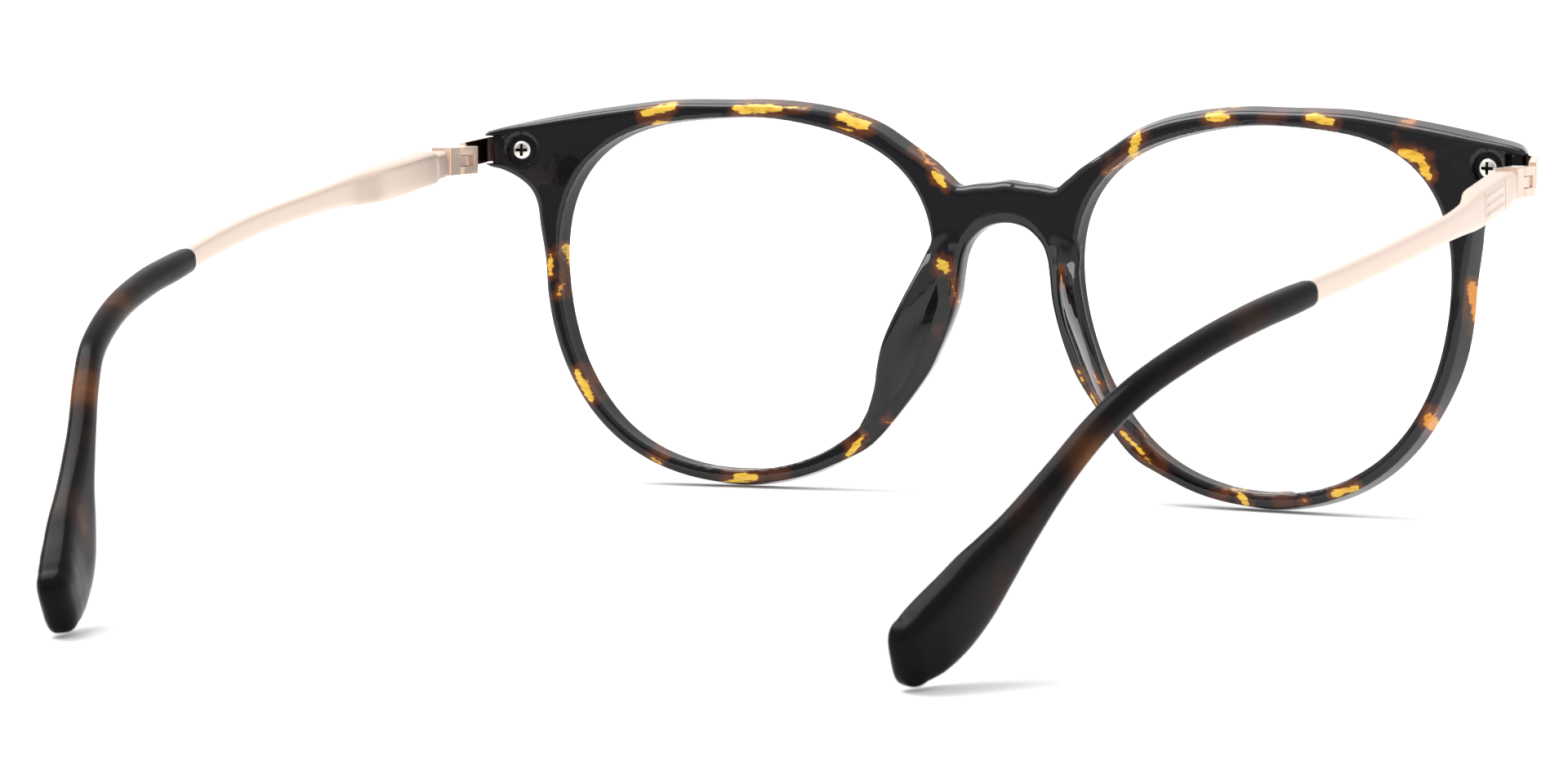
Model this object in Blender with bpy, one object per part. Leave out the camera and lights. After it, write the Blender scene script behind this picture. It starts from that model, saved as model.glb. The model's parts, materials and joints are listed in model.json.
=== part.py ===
"""Eyeglasses: moulded acetate front with nose pads, metal temples on sprung hinges, acetate tips.

Millimetre dimensions in a design frame: +X is the wearer's left, +Y runs back along the temples,
+Z is up, y = 0 at the back face of the bridge, z = 0 at the height of the endpiece screws.
place() puts them in metres with rims and tips standing on z = 0.
Everything is modelled for the left side; the right side is its mirror image.
"""

import math

import bmesh
import bpy
import numpy as np
from mathutils import Matrix, Vector

# ---------------------------------------------------------------- placing, mm
MM = 0.001
FLOOR_Z = 42.75                # drop from the endpiece screws to the rim bottoms
CENTRE_Y = 74.14               # middle of the length, front to tip
TILT_Y = -1.0                  # the tilt turns about this y, at floor height
TIP_TILT = math.radians(0.78)  # lift that brings the tips level with the rim bottoms
SHARP_ANGLE = math.radians(35)
SIDES = (("left", 1), ("right", -1))

# ---------------------------------------------------------------- front, mm
LENS_CENTRE = (34.8, -13.4)    # x, z
# Radii of the lens opening, every 22.5 degrees from the temporal side, upwards
LENS_RADII = (24.7, 24.5, 22.2, 19.1, 18.1, 18.9, 21.6, 24.7,
              25.3, 25.3, 26.2, 27.1, 27.4, 27.6, 26.9, 25.4)
OPENING_POINTS = 56
FRONT_T = 3.6                  # thickness
FACE_CURVE_X = 0.00154         # wrap of the front, mm per mm2
FACE_CURVE_Z = 0.0011
RIM_W = 1.95                   # rim width around the lens
EDGE_R = 0.45                  # edge rounding

GROOVE_AT = -FRONT_T / 2       # lens groove, measured rearwards from the back face
GROOVE_DEPTH = 0.65
GROOVE_OVERLAP = 0.4           # reach of the groove cutter into the open lens hole
LENS_POINTS = 48
LENS_BEVEL = 0.5
LENS_T = 1.3

# Half of the front outline, x and z, clockwise from the top of the bridge; rims fill the gaps
BRIDGE_TOP = ((0.0, -3.1), (3.4, -3.8), (6.4, -4.5), (8.4, -3.2), (10.5, -1.2))
BROW = ((44.8, 6.5), (51.0, 5.8), (57.0, 4.9), (63.0, 3.8), (67.0, 3.0), (68.3, 2.4), (68.8, 1.2))
ENDPIECE = ((68.8, -0.9), (68.5, -2.0), (67.6, -2.6), (66.0, -3.0),
            (64.4, -3.9), (63.1, -5.3), (62.4, -7.2), (62.1, -9.8))
NOSE = ((11.2, -28.1), (9.3, -24.6), (7.9, -21.3), (6.9, -18.0), (6.5, -15.0),
        (6.1, -12.7), (5.1, -10.6), (3.0, -8.9), (0.0, -8.3))

# Moulded pads: z, foot x on the nose outline, crest x, crest height behind the back face
PADS = ((-12.0, 6.4, 10.1, 0.2), (-14.5, 6.7, 10.6, 2.2), (-17.5, 7.0, 11.5, 3.8),
        (-20.5, 7.8, 12.6, 4.9), (-23.5, 9.1, 13.8, 5.2), (-26.5, 10.5, 14.8, 4.7),
        (-29.0, 11.9, 15.6, 3.6), (-31.5, 13.7, 16.9, 2.0), (-33.5, 15.4, 18.2, 0.3))

# ---------------------------------------------------------------- endpiece and hinge, mm
SCREW_X = 64.0                 # endpiece screw
SCREW_HOLE_R = 0.8
PLATE_T = 0.9
PLATE_H = 3.2
PLATE_GAP = 0.15               # free height above and below the plate
PLATE_DEPTH = 2.05             # middle of the plate, forward of the back face
PLATE_TURN_R = 1.0
LEG_SLANT = math.radians(11)   # the leg of the plate leans out towards the hinge
LEG_LENGTH = 4.4

PIN_X, PIN_Y = 69.55, 13.3     # hinge pin
PIN_HOLE_R = 0.62
HINGE_Z = -1.2                 # middle height of the hinge
HINGE_H = 3.5
HINGE_BOTTOM = HINGE_Z - HINGE_H / 2
HINGE_TOP = HINGE_Z + HINGE_H / 2
HINGE_INNER = PIN_X - 1.4
HINGE_OUTER = PIN_X + 1.4
KNUCKLE_R = 1.35
KNUCKLE_H = 1.25               # middle knuckle
KNUCKLE_GAP = 0.1
SCREW_STEP = 0.0003            # length of the step from screw head to shank

SHANK_R = 0.45
BORE_R = 0.95                  # bore of the spring box
SLIDE_GAP = 0.04

SPRING_FROM, SPRING_TO = 3.1, 12.0  # distances from the mouth of the spring box
SPRING_TURNS = 7
TURN_POINTS = 9
WIRE_R = 0.14
WIRE_SIDES = 5
COIL_R = 0.66

# ---------------------------------------------------------------- temple, mm
# Stations: centre x, y, z, height across, thickness
SPRING_BOX = ((69.60, 19.1, -1.50, 3.5, 2.8), (69.68, 21.4, -1.78, 3.5, 2.8),
              (69.70, 21.9, -1.84, 4.3, 2.7), (70.00, 30.0, -2.83, 4.3, 2.7),
              (70.17, 35.0, -3.44, 4.3, 2.6))
BAR = ((70.6, 38.6, -3.87, 4.0, 1.9), (70.95, 42.5, -4.3, 3.4, 1.35),
       (70.95, 50.0, -5.1, 2.8, 1.25), (70.5, 60.0, -6.2, 2.65, 1.2),
       (69.7, 70.0, -7.45, 2.6, 1.2), (68.5, 79.0, -8.7, 2.6, 1.2),
       (67.0, 88.0, -10.0, 2.5, 1.2))
TIP = ((66.95, 88.35, -10.05, 3.0, 2.8), (66.2, 93.0, -10.7, 3.3, 3.0),
       (64.9, 101.0, -11.9, 3.3, 3.1), (62.8, 111.0, -14.1, 3.3, 3.0),
       (60.0, 120.5, -17.4, 3.2, 2.9), (57.5, 126.4, -21.1, 3.2, 2.9),
       (55.1, 131.3, -25.6, 3.5, 2.9), (53.0, 135.8, -30.1, 4.9, 3.0),
       (51.0, 139.9, -34.3, 7.5, 3.2), (49.2, 144.1, -37.85, 8.5, 3.5),
       (47.6, 148.2, -40.3, 7.8, 3.7), (47.1, 149.9, -41.15, 6.9, 3.4),
       (46.75, 150.9, -41.65, 5.6, 2.6), (46.45, 151.6, -42.0, 3.2, 1.2))
TIP_SIDES = 12
CORE_W, CORE_T, CORE_GAP = 1.7, 1.0, 0.15
CORE_START = (66.98, 88.12, -10.02)   # where the bar steps down to the core wire
HOLLOW_START = (67.15, 87.2, -9.88)   # the hollow's cutter starts ahead of the tip
CORE_END = 7                   # the core wire ends at this station of TIP


# ---------------------------------------------------------------- frame
def place(point):
    """Design millimetres to world metres."""
    y, z = point[1] - TILT_Y, point[2] + FLOOR_Z
    cos, sin = math.cos(TIP_TILT), math.sin(TIP_TILT)
    return Vector((point[0], y * cos - z * sin + TILT_Y - CENTRE_Y, y * sin + z * cos)) * MM


def on_front(x, z, depth=0.0):
    """A point on the curved back face of the front, moved rearwards by depth."""
    bend = FACE_CURVE_X * x * x + FACE_CURVE_Z * (z - LENS_CENTRE[1]) ** 2
    return (x, bend + depth, z)


# The endpiece plate lies along the back of the endpiece, so its pocket turns with the wrap
SLOPE = math.atan(2 * FACE_CURVE_X * SCREW_X)
ALONG = Vector((math.cos(SLOPE), math.sin(SLOPE), 0))
FORWARD = Vector((math.sin(SLOPE), -math.cos(SLOPE), 0))
SEAT = Vector(on_front(SCREW_X, 0))


def endpiece(out, depth, z=0.0):
    """A point out along the endpiece from the screw, deep forward of the back face."""
    point = SEAT + out * ALONG + depth * FORWARD
    return (point.x, point.y, z)


def on_pin(z):
    return (PIN_X, PIN_Y, z)


MOUTH = Vector(SPRING_BOX[0][:3])
BOX_DIRECTION = (Vector(SPRING_BOX[-1][:3]) - MOUTH).normalized()


def on_bore(distance):
    """A point of the spring-box axis, measured rearwards from the mouth."""
    return tuple(MOUTH + distance * BOX_DIRECTION)


# ---------------------------------------------------------------- shapes: (points, faces)
def loft(rings, ends=True):
    count = len(rings[0])
    points = [point for ring in rings for point in ring]
    faces = []
    for start in range(0, len(points) - count, count):
        for j in range(count):
            k = (j + 1) % count
            faces.append((start + j, start + k, start + count + k, start + count + j))
    if ends:
        faces.append(tuple(range(count))[::-1])
        faces.append(tuple(range(len(points) - count, len(points))))
    return points, faces


def rectangle(a_low, a_high, b_low, b_high):
    return [(a_low, b_low), (a_high, b_low), (a_high, b_high), (a_low, b_high)]


def prism(outline, bottom, top):
    """Raises an x, y outline from bottom to top."""
    return loft([[(x, y, z) for x, y in outline] for z in (bottom, top)])


def endpiece_block(out, depth, height):
    """A block square to the endpiece, from (low, high) pairs."""
    return loft([[endpiece(a, b, z) for a, b in rectangle(*out, *depth)] for z in height])


def unit_circle(count):
    angles = (2 * math.pi * k / count for k in range(count))
    return [(math.cos(angle), math.sin(angle)) for angle in angles]


def tube(start, end, radius, sides=16):
    """A cylinder, or a stepped pin when radius is a list of (distance from start, radius)."""
    start, end = Vector(start), Vector(end)
    length = (end - start).length
    direction = (end - start).normalized()
    side = direction.orthogonal().normalized()
    up = direction.cross(side)
    steps = radius if isinstance(radius, list) else [(0.0, radius), (length, radius)]
    rings = []
    for distance, step_r in steps:
        centre = start.lerp(end, distance / length)
        rings.append([tuple(centre + step_r * (a * side + b * up)) for a, b in unit_circle(sides)])
    return loft(rings)


def flipped(shape, side):
    """The shape itself for side 1, its mirror image for side -1."""
    points, faces = shape
    return [(side * x, y, z) for x, y, z in points], faces


# ---------------------------------------------------------------- objects
def material(name, colour, metallic, roughness, transmission=0.0):
    mat = bpy.data.materials.new(name)
    mat.use_nodes = True
    inputs = mat.node_tree.nodes["Principled BSDF"].inputs
    inputs["Base Color"].default_value = (*colour, 1)
    inputs["Metallic"].default_value = metallic
    inputs["Roughness"].default_value = roughness
    inputs["Transmission Weight"].default_value = transmission
    mat.diffuse_color = (*colour, 1)
    return mat


def shade(mesh):
    mesh.shade_smooth()
    mesh.set_sharp_from_angle(angle=SHARP_ANGLE)


def world_place(obj):
    where = Vector()
    while obj:
        where += obj.location
        obj = obj.parent
    return where


def link(name, data, where, parent=None):
    """A new object with its origin at a world point."""
    obj = bpy.data.objects.new(name, data)
    bpy.context.scene.collection.objects.link(obj)
    obj.parent = parent
    obj.location = where - world_place(parent)
    return obj


def make(name, shape, mat=None, origin=(0, 0, 0), parent=None):
    """One object from a design-frame shape, its origin at a design-frame point."""
    points, faces = shape
    where = place(origin)
    bm = bmesh.new()
    verts = [bm.verts.new(place(point) - where) for point in points]
    for face in faces:
        bm.faces.new([verts[i] for i in face])
    bmesh.ops.remove_doubles(bm, verts=bm.verts, dist=1e-7)
    bmesh.ops.recalc_face_normals(bm, faces=bm.faces)
    if bm.calc_volume(signed=True) < 0:
        bmesh.ops.reverse_faces(bm, faces=bm.faces)
    mesh = bpy.data.meshes.new(name)
    bm.to_mesh(mesh)
    bm.free()
    shade(mesh)
    if mat:
        mesh.materials.append(mat)
    return link(name, mesh, where, parent)


def evaluated_mesh(obj):
    bpy.context.view_layer.update()
    graph = bpy.context.evaluated_depsgraph_get()
    return bpy.data.meshes.new_from_object(obj.evaluated_get(graph))


def cut(obj, name, shape, operation="DIFFERENCE"):
    """Boolean with the shape; keeps the result and removes the tool."""
    tool = make("cutter_" + name, shape)
    tool.hide_render = True
    tool.display_type = "WIRE"
    modifier = obj.modifiers.new(tool.name, "BOOLEAN")
    modifier.operation = operation
    modifier.object = tool
    modifier.solver = "EXACT"
    mesh = evaluated_mesh(obj)
    obj.modifiers.clear()
    mats = list(obj.data.materials)
    obj.data = mesh
    mesh.materials.clear()
    for mat in mats:
        mesh.materials.append(mat)
    mesh.name = obj.name
    shade(mesh)
    bpy.data.objects.remove(tool)


def join(obj, name, shape):
    cut(obj, name, shape, "UNION")


def mirror(obj):
    """The right-hand twin of a left piece, under the right-hand twin of its parent."""
    name = obj.name.replace("_left", "_right")
    mesh = obj.data.copy()
    mesh.name = name
    mesh.transform(Matrix.Scale(-1, 4, (1, 0, 0)))
    mesh.flip_normals()
    where = world_place(obj)
    where.x = -where.x
    parent = None
    if obj.parent:
        parent = bpy.data.objects[obj.parent.name.replace("_left", "_right")]
    link(name, mesh, where, parent)


# ---------------------------------------------------------------- curves
def lens_point(angle, offset=0.0):
    """x, z of the lens opening at this angle, moved out along the normal."""
    harmonics = np.fft.rfft(LENS_RADII) / len(LENS_RADII)
    order = np.arange(1, len(harmonics))
    weight = np.where(order == len(LENS_RADII) // 2, 1.0, 2.0)
    waves = weight * harmonics[1:] * np.exp(1j * order * angle)
    radius = harmonics[0].real + waves.real.sum()
    change = (1j * order * waves).real.sum()
    cos, sin = math.cos(angle), math.sin(angle)
    tangent = np.array([change * cos - radius * sin, change * sin + radius * cos])
    normal = np.array([tangent[1], -tangent[0]]) / np.hypot(*tangent)
    return (LENS_CENTRE[0] + radius * cos + offset * normal[0],
            LENS_CENTRE[1] + radius * sin + offset * normal[1])


def lens_loop(count, offset=0.0):
    return [lens_point(2 * math.pi * k / count, offset) for k in range(count)]


def lens_ring(count, offset, depth):
    """The lens loop on the curved front, depth rearwards of the groove's middle."""
    return [on_front(x, z, GROOVE_AT + depth) for x, z in lens_loop(count, offset)]


def smooth(points, steps=2):
    """Catmull-Rom through the points, open, with the ends kept."""
    knots = [np.array(point, float) for point in points]
    knots = [2 * knots[0] - knots[1]] + knots + [2 * knots[-1] - knots[-2]]
    curve = []
    for before, here, there, after in zip(knots, knots[1:], knots[2:], knots[3:]):
        for step in range(steps):
            t = step / steps
            point = 0.5 * (2 * here + (there - before) * t
                           + (2 * before - 5 * here + 4 * there - after) * t * t
                           + (3 * here - before - 3 * there + after) * t ** 3)
            curve.append(tuple(point.tolist()))
    return curve + [tuple(knots[-2].tolist())]


def rim(first, stop):
    """Outer rim points every 9 degrees, clockwise."""
    return [lens_point(math.radians(angle), RIM_W) for angle in range(first, stop, -9)]


def front_outline():
    """Outer outline of the whole front."""
    half = smooth([*BRIDGE_TOP, *rim(148, 80), *BROW, *ENDPIECE, *rim(-2, -134), *NOSE])
    return half + [(-x, z) for x, z in half[-2:0:-1]]


def chamfered(width, thick):
    """Rectangle with cut corners: across the temple, through the temple."""
    w, t = width / 2, thick / 2
    c = min(w, t) * 0.28
    return [(w, t - c), (w - c, t), (c - w, t), (-w, t - c),
            (-w, c - t), (c - w, -t), (w - c, -t), (w, c - t)]


def ellipse(width, thick):
    return [(width / 2 * a, thick / 2 * b) for a, b in unit_circle(TIP_SIDES)]


def sweep(stations, section=chamfered):
    """A solid along the temple, its sections upright and square to the centre line."""
    centres = [Vector(station[:3]) for station in stations]
    rings = []
    for i, (centre, station) in enumerate(zip(centres, stations)):
        ahead, behind = centres[max(i - 1, 0)], centres[min(i + 1, len(centres) - 1)]
        direction = (behind - ahead).normalized()
        out = (Vector((1, 0, 0)) - direction.x * direction).normalized()
        up = out.cross(direction)
        rings.append([tuple(centre + a * up + b * out) for a, b in section(*station[3:])])
    return loft(rings)


def core_stations(centres, gap=0.0):
    return [(*centre[:3], CORE_W + 2 * gap, CORE_T + 2 * gap) for centre in centres]


# ---------------------------------------------------------------- front
def front_sheet():
    """The front as a flat plate with bevelled edges, bent to the face curve."""
    flat = bpy.data.curves.new("front_outline", "CURVE")
    flat.dimensions = "2D"
    flat.fill_mode = "BOTH"
    flat.extrude = FRONT_T / 2 - EDGE_R
    flat.bevel_depth = EDGE_R
    flat.bevel_resolution = 0
    flat.offset = -EDGE_R
    opening = lens_loop(OPENING_POINTS)
    for loop in (front_outline(), opening, [(-x, z) for x, z in opening]):
        spline = flat.splines.new("POLY")
        spline.points.add(len(loop) - 1)
        for point, (x, z) in zip(spline.points, loop):
            point.co = (x, z, 0, 1)
        spline.use_cyclic_u = True
    sheet = link("front_sheet", flat, Vector())
    mesh = evaluated_mesh(sheet)
    points = [on_front(v.co.x, v.co.y, v.co.z - FRONT_T / 2) for v in mesh.vertices]
    faces = [tuple(polygon.vertices) for polygon in mesh.polygons]
    bpy.data.objects.remove(sheet)
    return points, faces


def nose_pad():
    """A ridge behind the rim beside the nose, its root sunk into the front."""
    rings = []
    for z, foot, crest, height in smooth(PADS):
        edge = foot + 2.5
        # x, depth behind the back face
        ring = [(foot + 0.25, -2.4), (foot + 0.9, -0.6),
                ((foot + crest) / 2 - 0.2, height * 0.45),
                (crest - 0.75, height - 0.35), (crest - 0.2, height),
                (crest + 0.3, height - 0.25), (crest + 0.35, height - 0.8),
                ((edge + crest) / 2, height * 0.4 - 0.5),
                (edge - 0.2, -1.0), (edge - 0.5, -2.4)]
        rings.append([on_front(x, z, depth) for x, depth in ring])
    return loft(rings)


def lens_groove():
    reach = GROOVE_DEPTH + GROOVE_OVERLAP
    profile = ((-GROOVE_OVERLAP, reach), (GROOVE_DEPTH, 0.0), (-GROOVE_OVERLAP, -reach))
    return loft([lens_ring(OPENING_POINTS, offset, depth) for offset, depth in profile])


def front_frame(mat):
    front = make("front_frame", front_sheet(), mat)
    for name, side in SIDES:
        join(front, "pad_" + name[0], flipped(nose_pad(), side))
    height = PLATE_H / 2 + PLATE_GAP
    heights = (-height, height)
    cuts = (
        ("groove_", lens_groove()),
        ("pocket_", endpiece_block((-2.7, 8), (1.4, 2.65), heights)),
        ("channel_", endpiece_block((2.3, 8), (-3.0, 2.0), heights)),
        ("counterbore_", tube(endpiece(0, -1), endpiece(0, 0.75), 2.0, 24)),
        ("screw_hole_", tube(endpiece(0, 0.5), endpiece(0, 3.15), SCREW_HOLE_R, 12)),
    )
    for name, side in SIDES:
        for kind, shape in cuts:
            cut(front, kind + name, flipped(shape, side))


def lens(mat):
    """Curved lens with a pointed edge, each face closed by a fan to its centre."""
    face = LENS_T / 2
    # offset from the opening, depth rearwards of the groove's middle
    profile = ((-12.0, face), (-0.35, face), (0.0, 0.3), (LENS_BEVEL, 0.0),
               (0.0, -0.3), (-0.35, -face), (-12.0, -face))
    rings = [lens_ring(LENS_POINTS, offset, depth) for offset, depth in profile]
    points, faces = loft(rings, ends=False)
    for first, depth in ((0, face), (len(points) - LENS_POINTS, -face)):
        centre = len(points)
        points.append(on_front(*LENS_CENTRE, GROOVE_AT + depth))
        for j in range(LENS_POINTS):
            faces.append((first + j, first + (j + 1) % LENS_POINTS, centre))
    return make("lens_left", (points, faces), mat)


# ---------------------------------------------------------------- endpiece plate and screws
def bent_plate():
    """Strip along the endpiece, turned rearwards into a leg."""
    path = [(SEAT + out * ALONG + PLATE_DEPTH * FORWARD, ALONG) for out in (-2.4, 2.0, 4.6)]
    turn = path[-1][0] - PLATE_TURN_R * FORWARD
    for k in range(1, 5):
        angle = SLOPE - math.pi / 2 + (math.pi / 2 - SLOPE - LEG_SLANT) * k / 4
        cos, sin = math.cos(angle), math.sin(angle)
        path.append((turn + PLATE_TURN_R * Vector((cos, sin, 0)), Vector((-sin, cos, 0))))
    corner, leg = path[-1]
    path.append((corner + LEG_LENGTH * leg, leg))
    heights = (0, 0, 0, 0, -0.05, -0.1, -0.15, -0.6)  # middle z at each point of the path
    half = PLATE_T / 2
    rings = []
    for (point, heading), z in zip(path, heights):
        rings.append([(point.x - a * heading.y, point.y + a * heading.x, z + b * PLATE_H / 2)
                      for a, b in ((half, 1), (half, -1), (-half, -1), (-half, 1))])
    return loft(rings)


def endpiece_plate(mat):
    """Bent plate with the outer knuckles."""
    plate = make("endpiece_plate_left", bent_plate(), mat)
    inner, outer = HINGE_INNER, HINGE_OUTER
    front, back = PIN_Y - 3.0, PIN_Y + 1.9
    block = [(inner + 0.5, front), (outer - 0.15, front), (outer, front + 0.2),
             (outer, back - 0.25), (outer - 0.2, back), (inner + 0.6, back),
             (inner + 0.18, back - 0.18), (inner, back - 0.6), (inner, front + 0.5)]
    join(plate, "hinge_block", prism(block, HINGE_BOTTOM, HINGE_TOP))
    gap = KNUCKLE_H / 2 + KNUCKLE_GAP
    slot = rectangle(60, 75, PIN_Y - 1.65, 20)
    cut(plate, "knuckle_slot", prism(slot, HINGE_Z - gap, HINGE_Z + gap))
    above = on_pin(HINGE_TOP + 1)
    cut(plate, "pin_hole", tube(on_pin(HINGE_BOTTOM - 1), above, PIN_HOLE_R))
    cut(plate, "pin_head_seat", tube(on_pin(HINGE_TOP - 0.45), above, 1.05, 20))
    hole = tube(endpiece(0, 1.0), endpiece(0, 3.0), SCREW_HOLE_R, 12)
    cut(plate, "tongue_hole", hole)
    return plate


def screw_profile(head, shank_r, length, taper, end_r):
    """Adds a plain shank with a tapered end to the (distance, radius) steps of a head."""
    return head + [(head[-1][0] + SCREW_STEP, shank_r), (length - taper, shank_r), (length, end_r)]


def endpiece_screw(mat):
    """Low domed head, cross recess, plain shank."""
    start, end = -0.15, 3.05
    head = [(0.0, 0.55), (0.06, 0.85), (0.2, 1.12), (0.4, 1.25), (0.8, 1.25)]
    profile = screw_profile(head, shank_r=0.65, length=end - start, taper=0.3, end_r=0.4)
    body = tube(endpiece(0, start), endpiece(0, end), profile, 24)
    screw = make("endpiece_screw_left", body, mat, endpiece(0, 0))
    for k, (wide, high) in enumerate(((0.17, 0.62), (0.62, 0.17))):
        arm = endpiece_block((-wide, wide), (-0.6, 0.35), (-high, high))
        cut(screw, "cross_%d" % k, arm)
    return screw


def hinge_screw(mat):
    """Slotted screw, head up."""
    top, bottom = HINGE_TOP + 0.1, HINGE_BOTTOM + 0.05
    head = [(0, 0.7), (0.12, 0.95), (0.5, 0.95)]
    profile = screw_profile(head, shank_r=0.52, length=top - bottom, taper=0.25, end_r=0.35)
    body = tube(on_pin(top), on_pin(bottom), profile, 20)
    screw = make("hinge_screw_left", body, mat, on_pin(HINGE_Z))
    slot = rectangle(PIN_X - 2, PIN_X + 2, PIN_Y - 0.15, PIN_Y + 0.15)
    cut(screw, "slot", prism(slot, top - 0.25, top + 1))
    return screw


# ---------------------------------------------------------------- sprung hinge
def hinge_axes():
    """Empties at the hinge pins and, under them, at the mouths of the spring boxes."""
    for name, side in SIDES:
        pin = place((side * PIN_X, PIN_Y, HINGE_Z))
        fold = link("axis_fold_" + name, None, pin)
        link("axis_flex_" + name, None, place((side * MOUTH.x, MOUTH.y, MOUTH.z)), fold)
    return bpy.data.objects["axis_fold_left"], bpy.data.objects["axis_flex_left"]


def hinge_slider(mat, parent):
    """Middle knuckle, T head and shank."""
    half = KNUCKLE_H / 2
    knuckle = tube(on_pin(HINGE_Z - half), on_pin(HINGE_Z + half), KNUCKLE_R, 24)
    slider = make("hinge_slider_left", knuckle, mat, on_pin(HINGE_Z), parent)
    inner, outer = HINGE_INNER, HINGE_OUTER
    front, back = PIN_Y + 2.3, PIN_Y + 5.3
    web = rectangle(PIN_X - 1.25, PIN_X + 1.3, PIN_Y, front + 0.5)
    web_half = half - 0.001  # keeps its faces off those of the knuckle
    join(slider, "web", prism(web, HINGE_Z - web_half, HINGE_Z + web_half))
    head = [(inner + 0.2, front), (outer - 0.2, front), (outer, front + 0.2),
            (outer, back - 0.1), (outer - 0.1, back), (inner + 0.1, back),
            (inner, back - 0.1), (inner, front + 0.2)]
    join(slider, "head", prism(head, HINGE_BOTTOM, HINGE_TOP))
    join(slider, "shank", tube(on_bore(-0.9), on_bore(13.6), SHANK_R, 12))
    hole = tube(on_pin(HINGE_BOTTOM - 1), on_pin(HINGE_TOP + 1), PIN_HOLE_R)
    cut(slider, "knuckle_hole", hole)
    return slider


def shank_ring(name, start, end, radius, mat, parent):
    """A ring around the slider's shank."""
    sides = 14
    body = tube(on_bore(start), on_bore(end), radius, sides)
    ring = make(name, body, mat, on_bore(start), parent)
    hole = tube(on_bore(start - 1), on_bore(end + 1), SHANK_R + SLIDE_GAP, sides)
    cut(ring, "bore", hole)
    return ring


def flex_spring(mat, parent):
    side = BOX_DIRECTION.orthogonal().normalized()
    up = BOX_DIRECTION.cross(side)
    count = SPRING_TURNS * TURN_POINTS
    rings = []
    for k in range(count + 1):
        angle = 2 * math.pi * k / TURN_POINTS
        axis = Vector(on_bore(SPRING_FROM + (SPRING_TO - SPRING_FROM) * k / count))
        out = math.cos(angle) * side + math.sin(angle) * up
        centre = axis + COIL_R * out
        rings.append([tuple(centre + WIRE_R * (a * out + b * BOX_DIRECTION))
                      for a, b in unit_circle(WIRE_SIDES)])
    return make("flex_spring_left", loft(rings), mat, on_bore(SPRING_TO), parent)


# ---------------------------------------------------------------- temple
def stripe(k):
    """A low rib along the outer face of the spring box, k places above the middle one."""
    pitch, half_w, half_t = 1.0, 0.28, 0.22
    shift = Vector((0, 0.1, 1)).normalized() * (pitch * k) + Vector((1.36, 0, 0))
    rings = []
    for distance in (6.0, 15.5):
        centre = Vector(on_bore(distance)) + shift
        rings.append([tuple(centre + Vector((a * half_t, 0, b * half_w)))
                      for b, a in ((1, -1), (1, 0.4), (-1, 0.4), (-1, -1))])
    return loft(rings)


def temple_arm(mat, parent):
    """Spring box, bar and the core wire inside the tip."""
    bar = smooth([SPRING_BOX[-1], *BAR])[1:]
    core = core_stations([CORE_START, *TIP[1:CORE_END + 1]])
    arm = make("temple_arm_left", sweep([*SPRING_BOX, *bar, *core]), mat, MOUTH, parent)
    cut(arm, "spring_bore", tube(on_bore(-1), on_bore(15.2), BORE_R))
    for k in (-1, 0, 1):
        join(arm, "stripe_%d" % (k + 1), stripe(k))
    return arm


def temple_tip(mat, parent):
    """Acetate tip, hollow for the core wire."""
    tip = make("temple_tip_left", sweep(TIP, ellipse), mat, MOUTH, parent)
    last, following = Vector(TIP[CORE_END][:3]), Vector(TIP[CORE_END + 1][:3])
    end = last + 0.05 * (following - last)
    hollow = core_stations([HOLLOW_START, *TIP[:CORE_END + 1], end], CORE_GAP)
    cut(tip, "core_hollow", sweep(hollow))
    return tip


# ---------------------------------------------------------------- build
def build():
    for old in list(bpy.data.objects):
        bpy.data.objects.remove(old, do_unlink=True)

    acetate = material("tortoise_acetate", (0.03, 0.022, 0.022), metallic=0.0, roughness=0.12)
    tip_acetate = material("tip_acetate", (0.05, 0.03, 0.022), metallic=0.0, roughness=0.3)
    gold = material("rose_gold", (0.93, 0.74, 0.62), metallic=1.0, roughness=0.28)
    steel = material("screw_steel", (0.75, 0.74, 0.71), metallic=1.0, roughness=0.25)
    spring_steel = material("spring_steel", (0.55, 0.55, 0.55), metallic=1.0, roughness=0.35)
    brass = material("bush_brass", (0.75, 0.58, 0.3), metallic=1.0, roughness=0.35)
    clear = material("clear_lens", (0.97, 0.98, 0.98), metallic=0.0, roughness=0.03,
                     transmission=1.0)

    front_frame(acetate)
    fold, flex = hinge_axes()
    left_pieces = (
        lens(clear),
        endpiece_plate(gold),
        endpiece_screw(steel),
        hinge_screw(steel),
        hinge_slider(gold, fold),
        shank_ring("slider_nut_left", 12.3, 13.4, 0.83, steel, fold),
        shank_ring("guide_bush_left", 0.15, 1.75, BORE_R - SLIDE_GAP, brass, flex),
        flex_spring(spring_steel, fold),
        temple_arm(gold, flex),
        temple_tip(tip_acetate, flex),
    )
    for piece in left_pieces:
        mirror(piece)


build()
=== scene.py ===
"""Eyeglasses: tortoise acetate front, clear lenses, rose-gold temples with acetate tips.

Design frame, mm: x to the wearer's left, y back along the temples, z up. Temples and screws are
modelled on the left and mirrored. place() tilts the design about x and lifts it, in metres.
"""

import json
import math

import bmesh
import bpy
import numpy as np
from mathutils import Matrix, Vector

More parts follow.
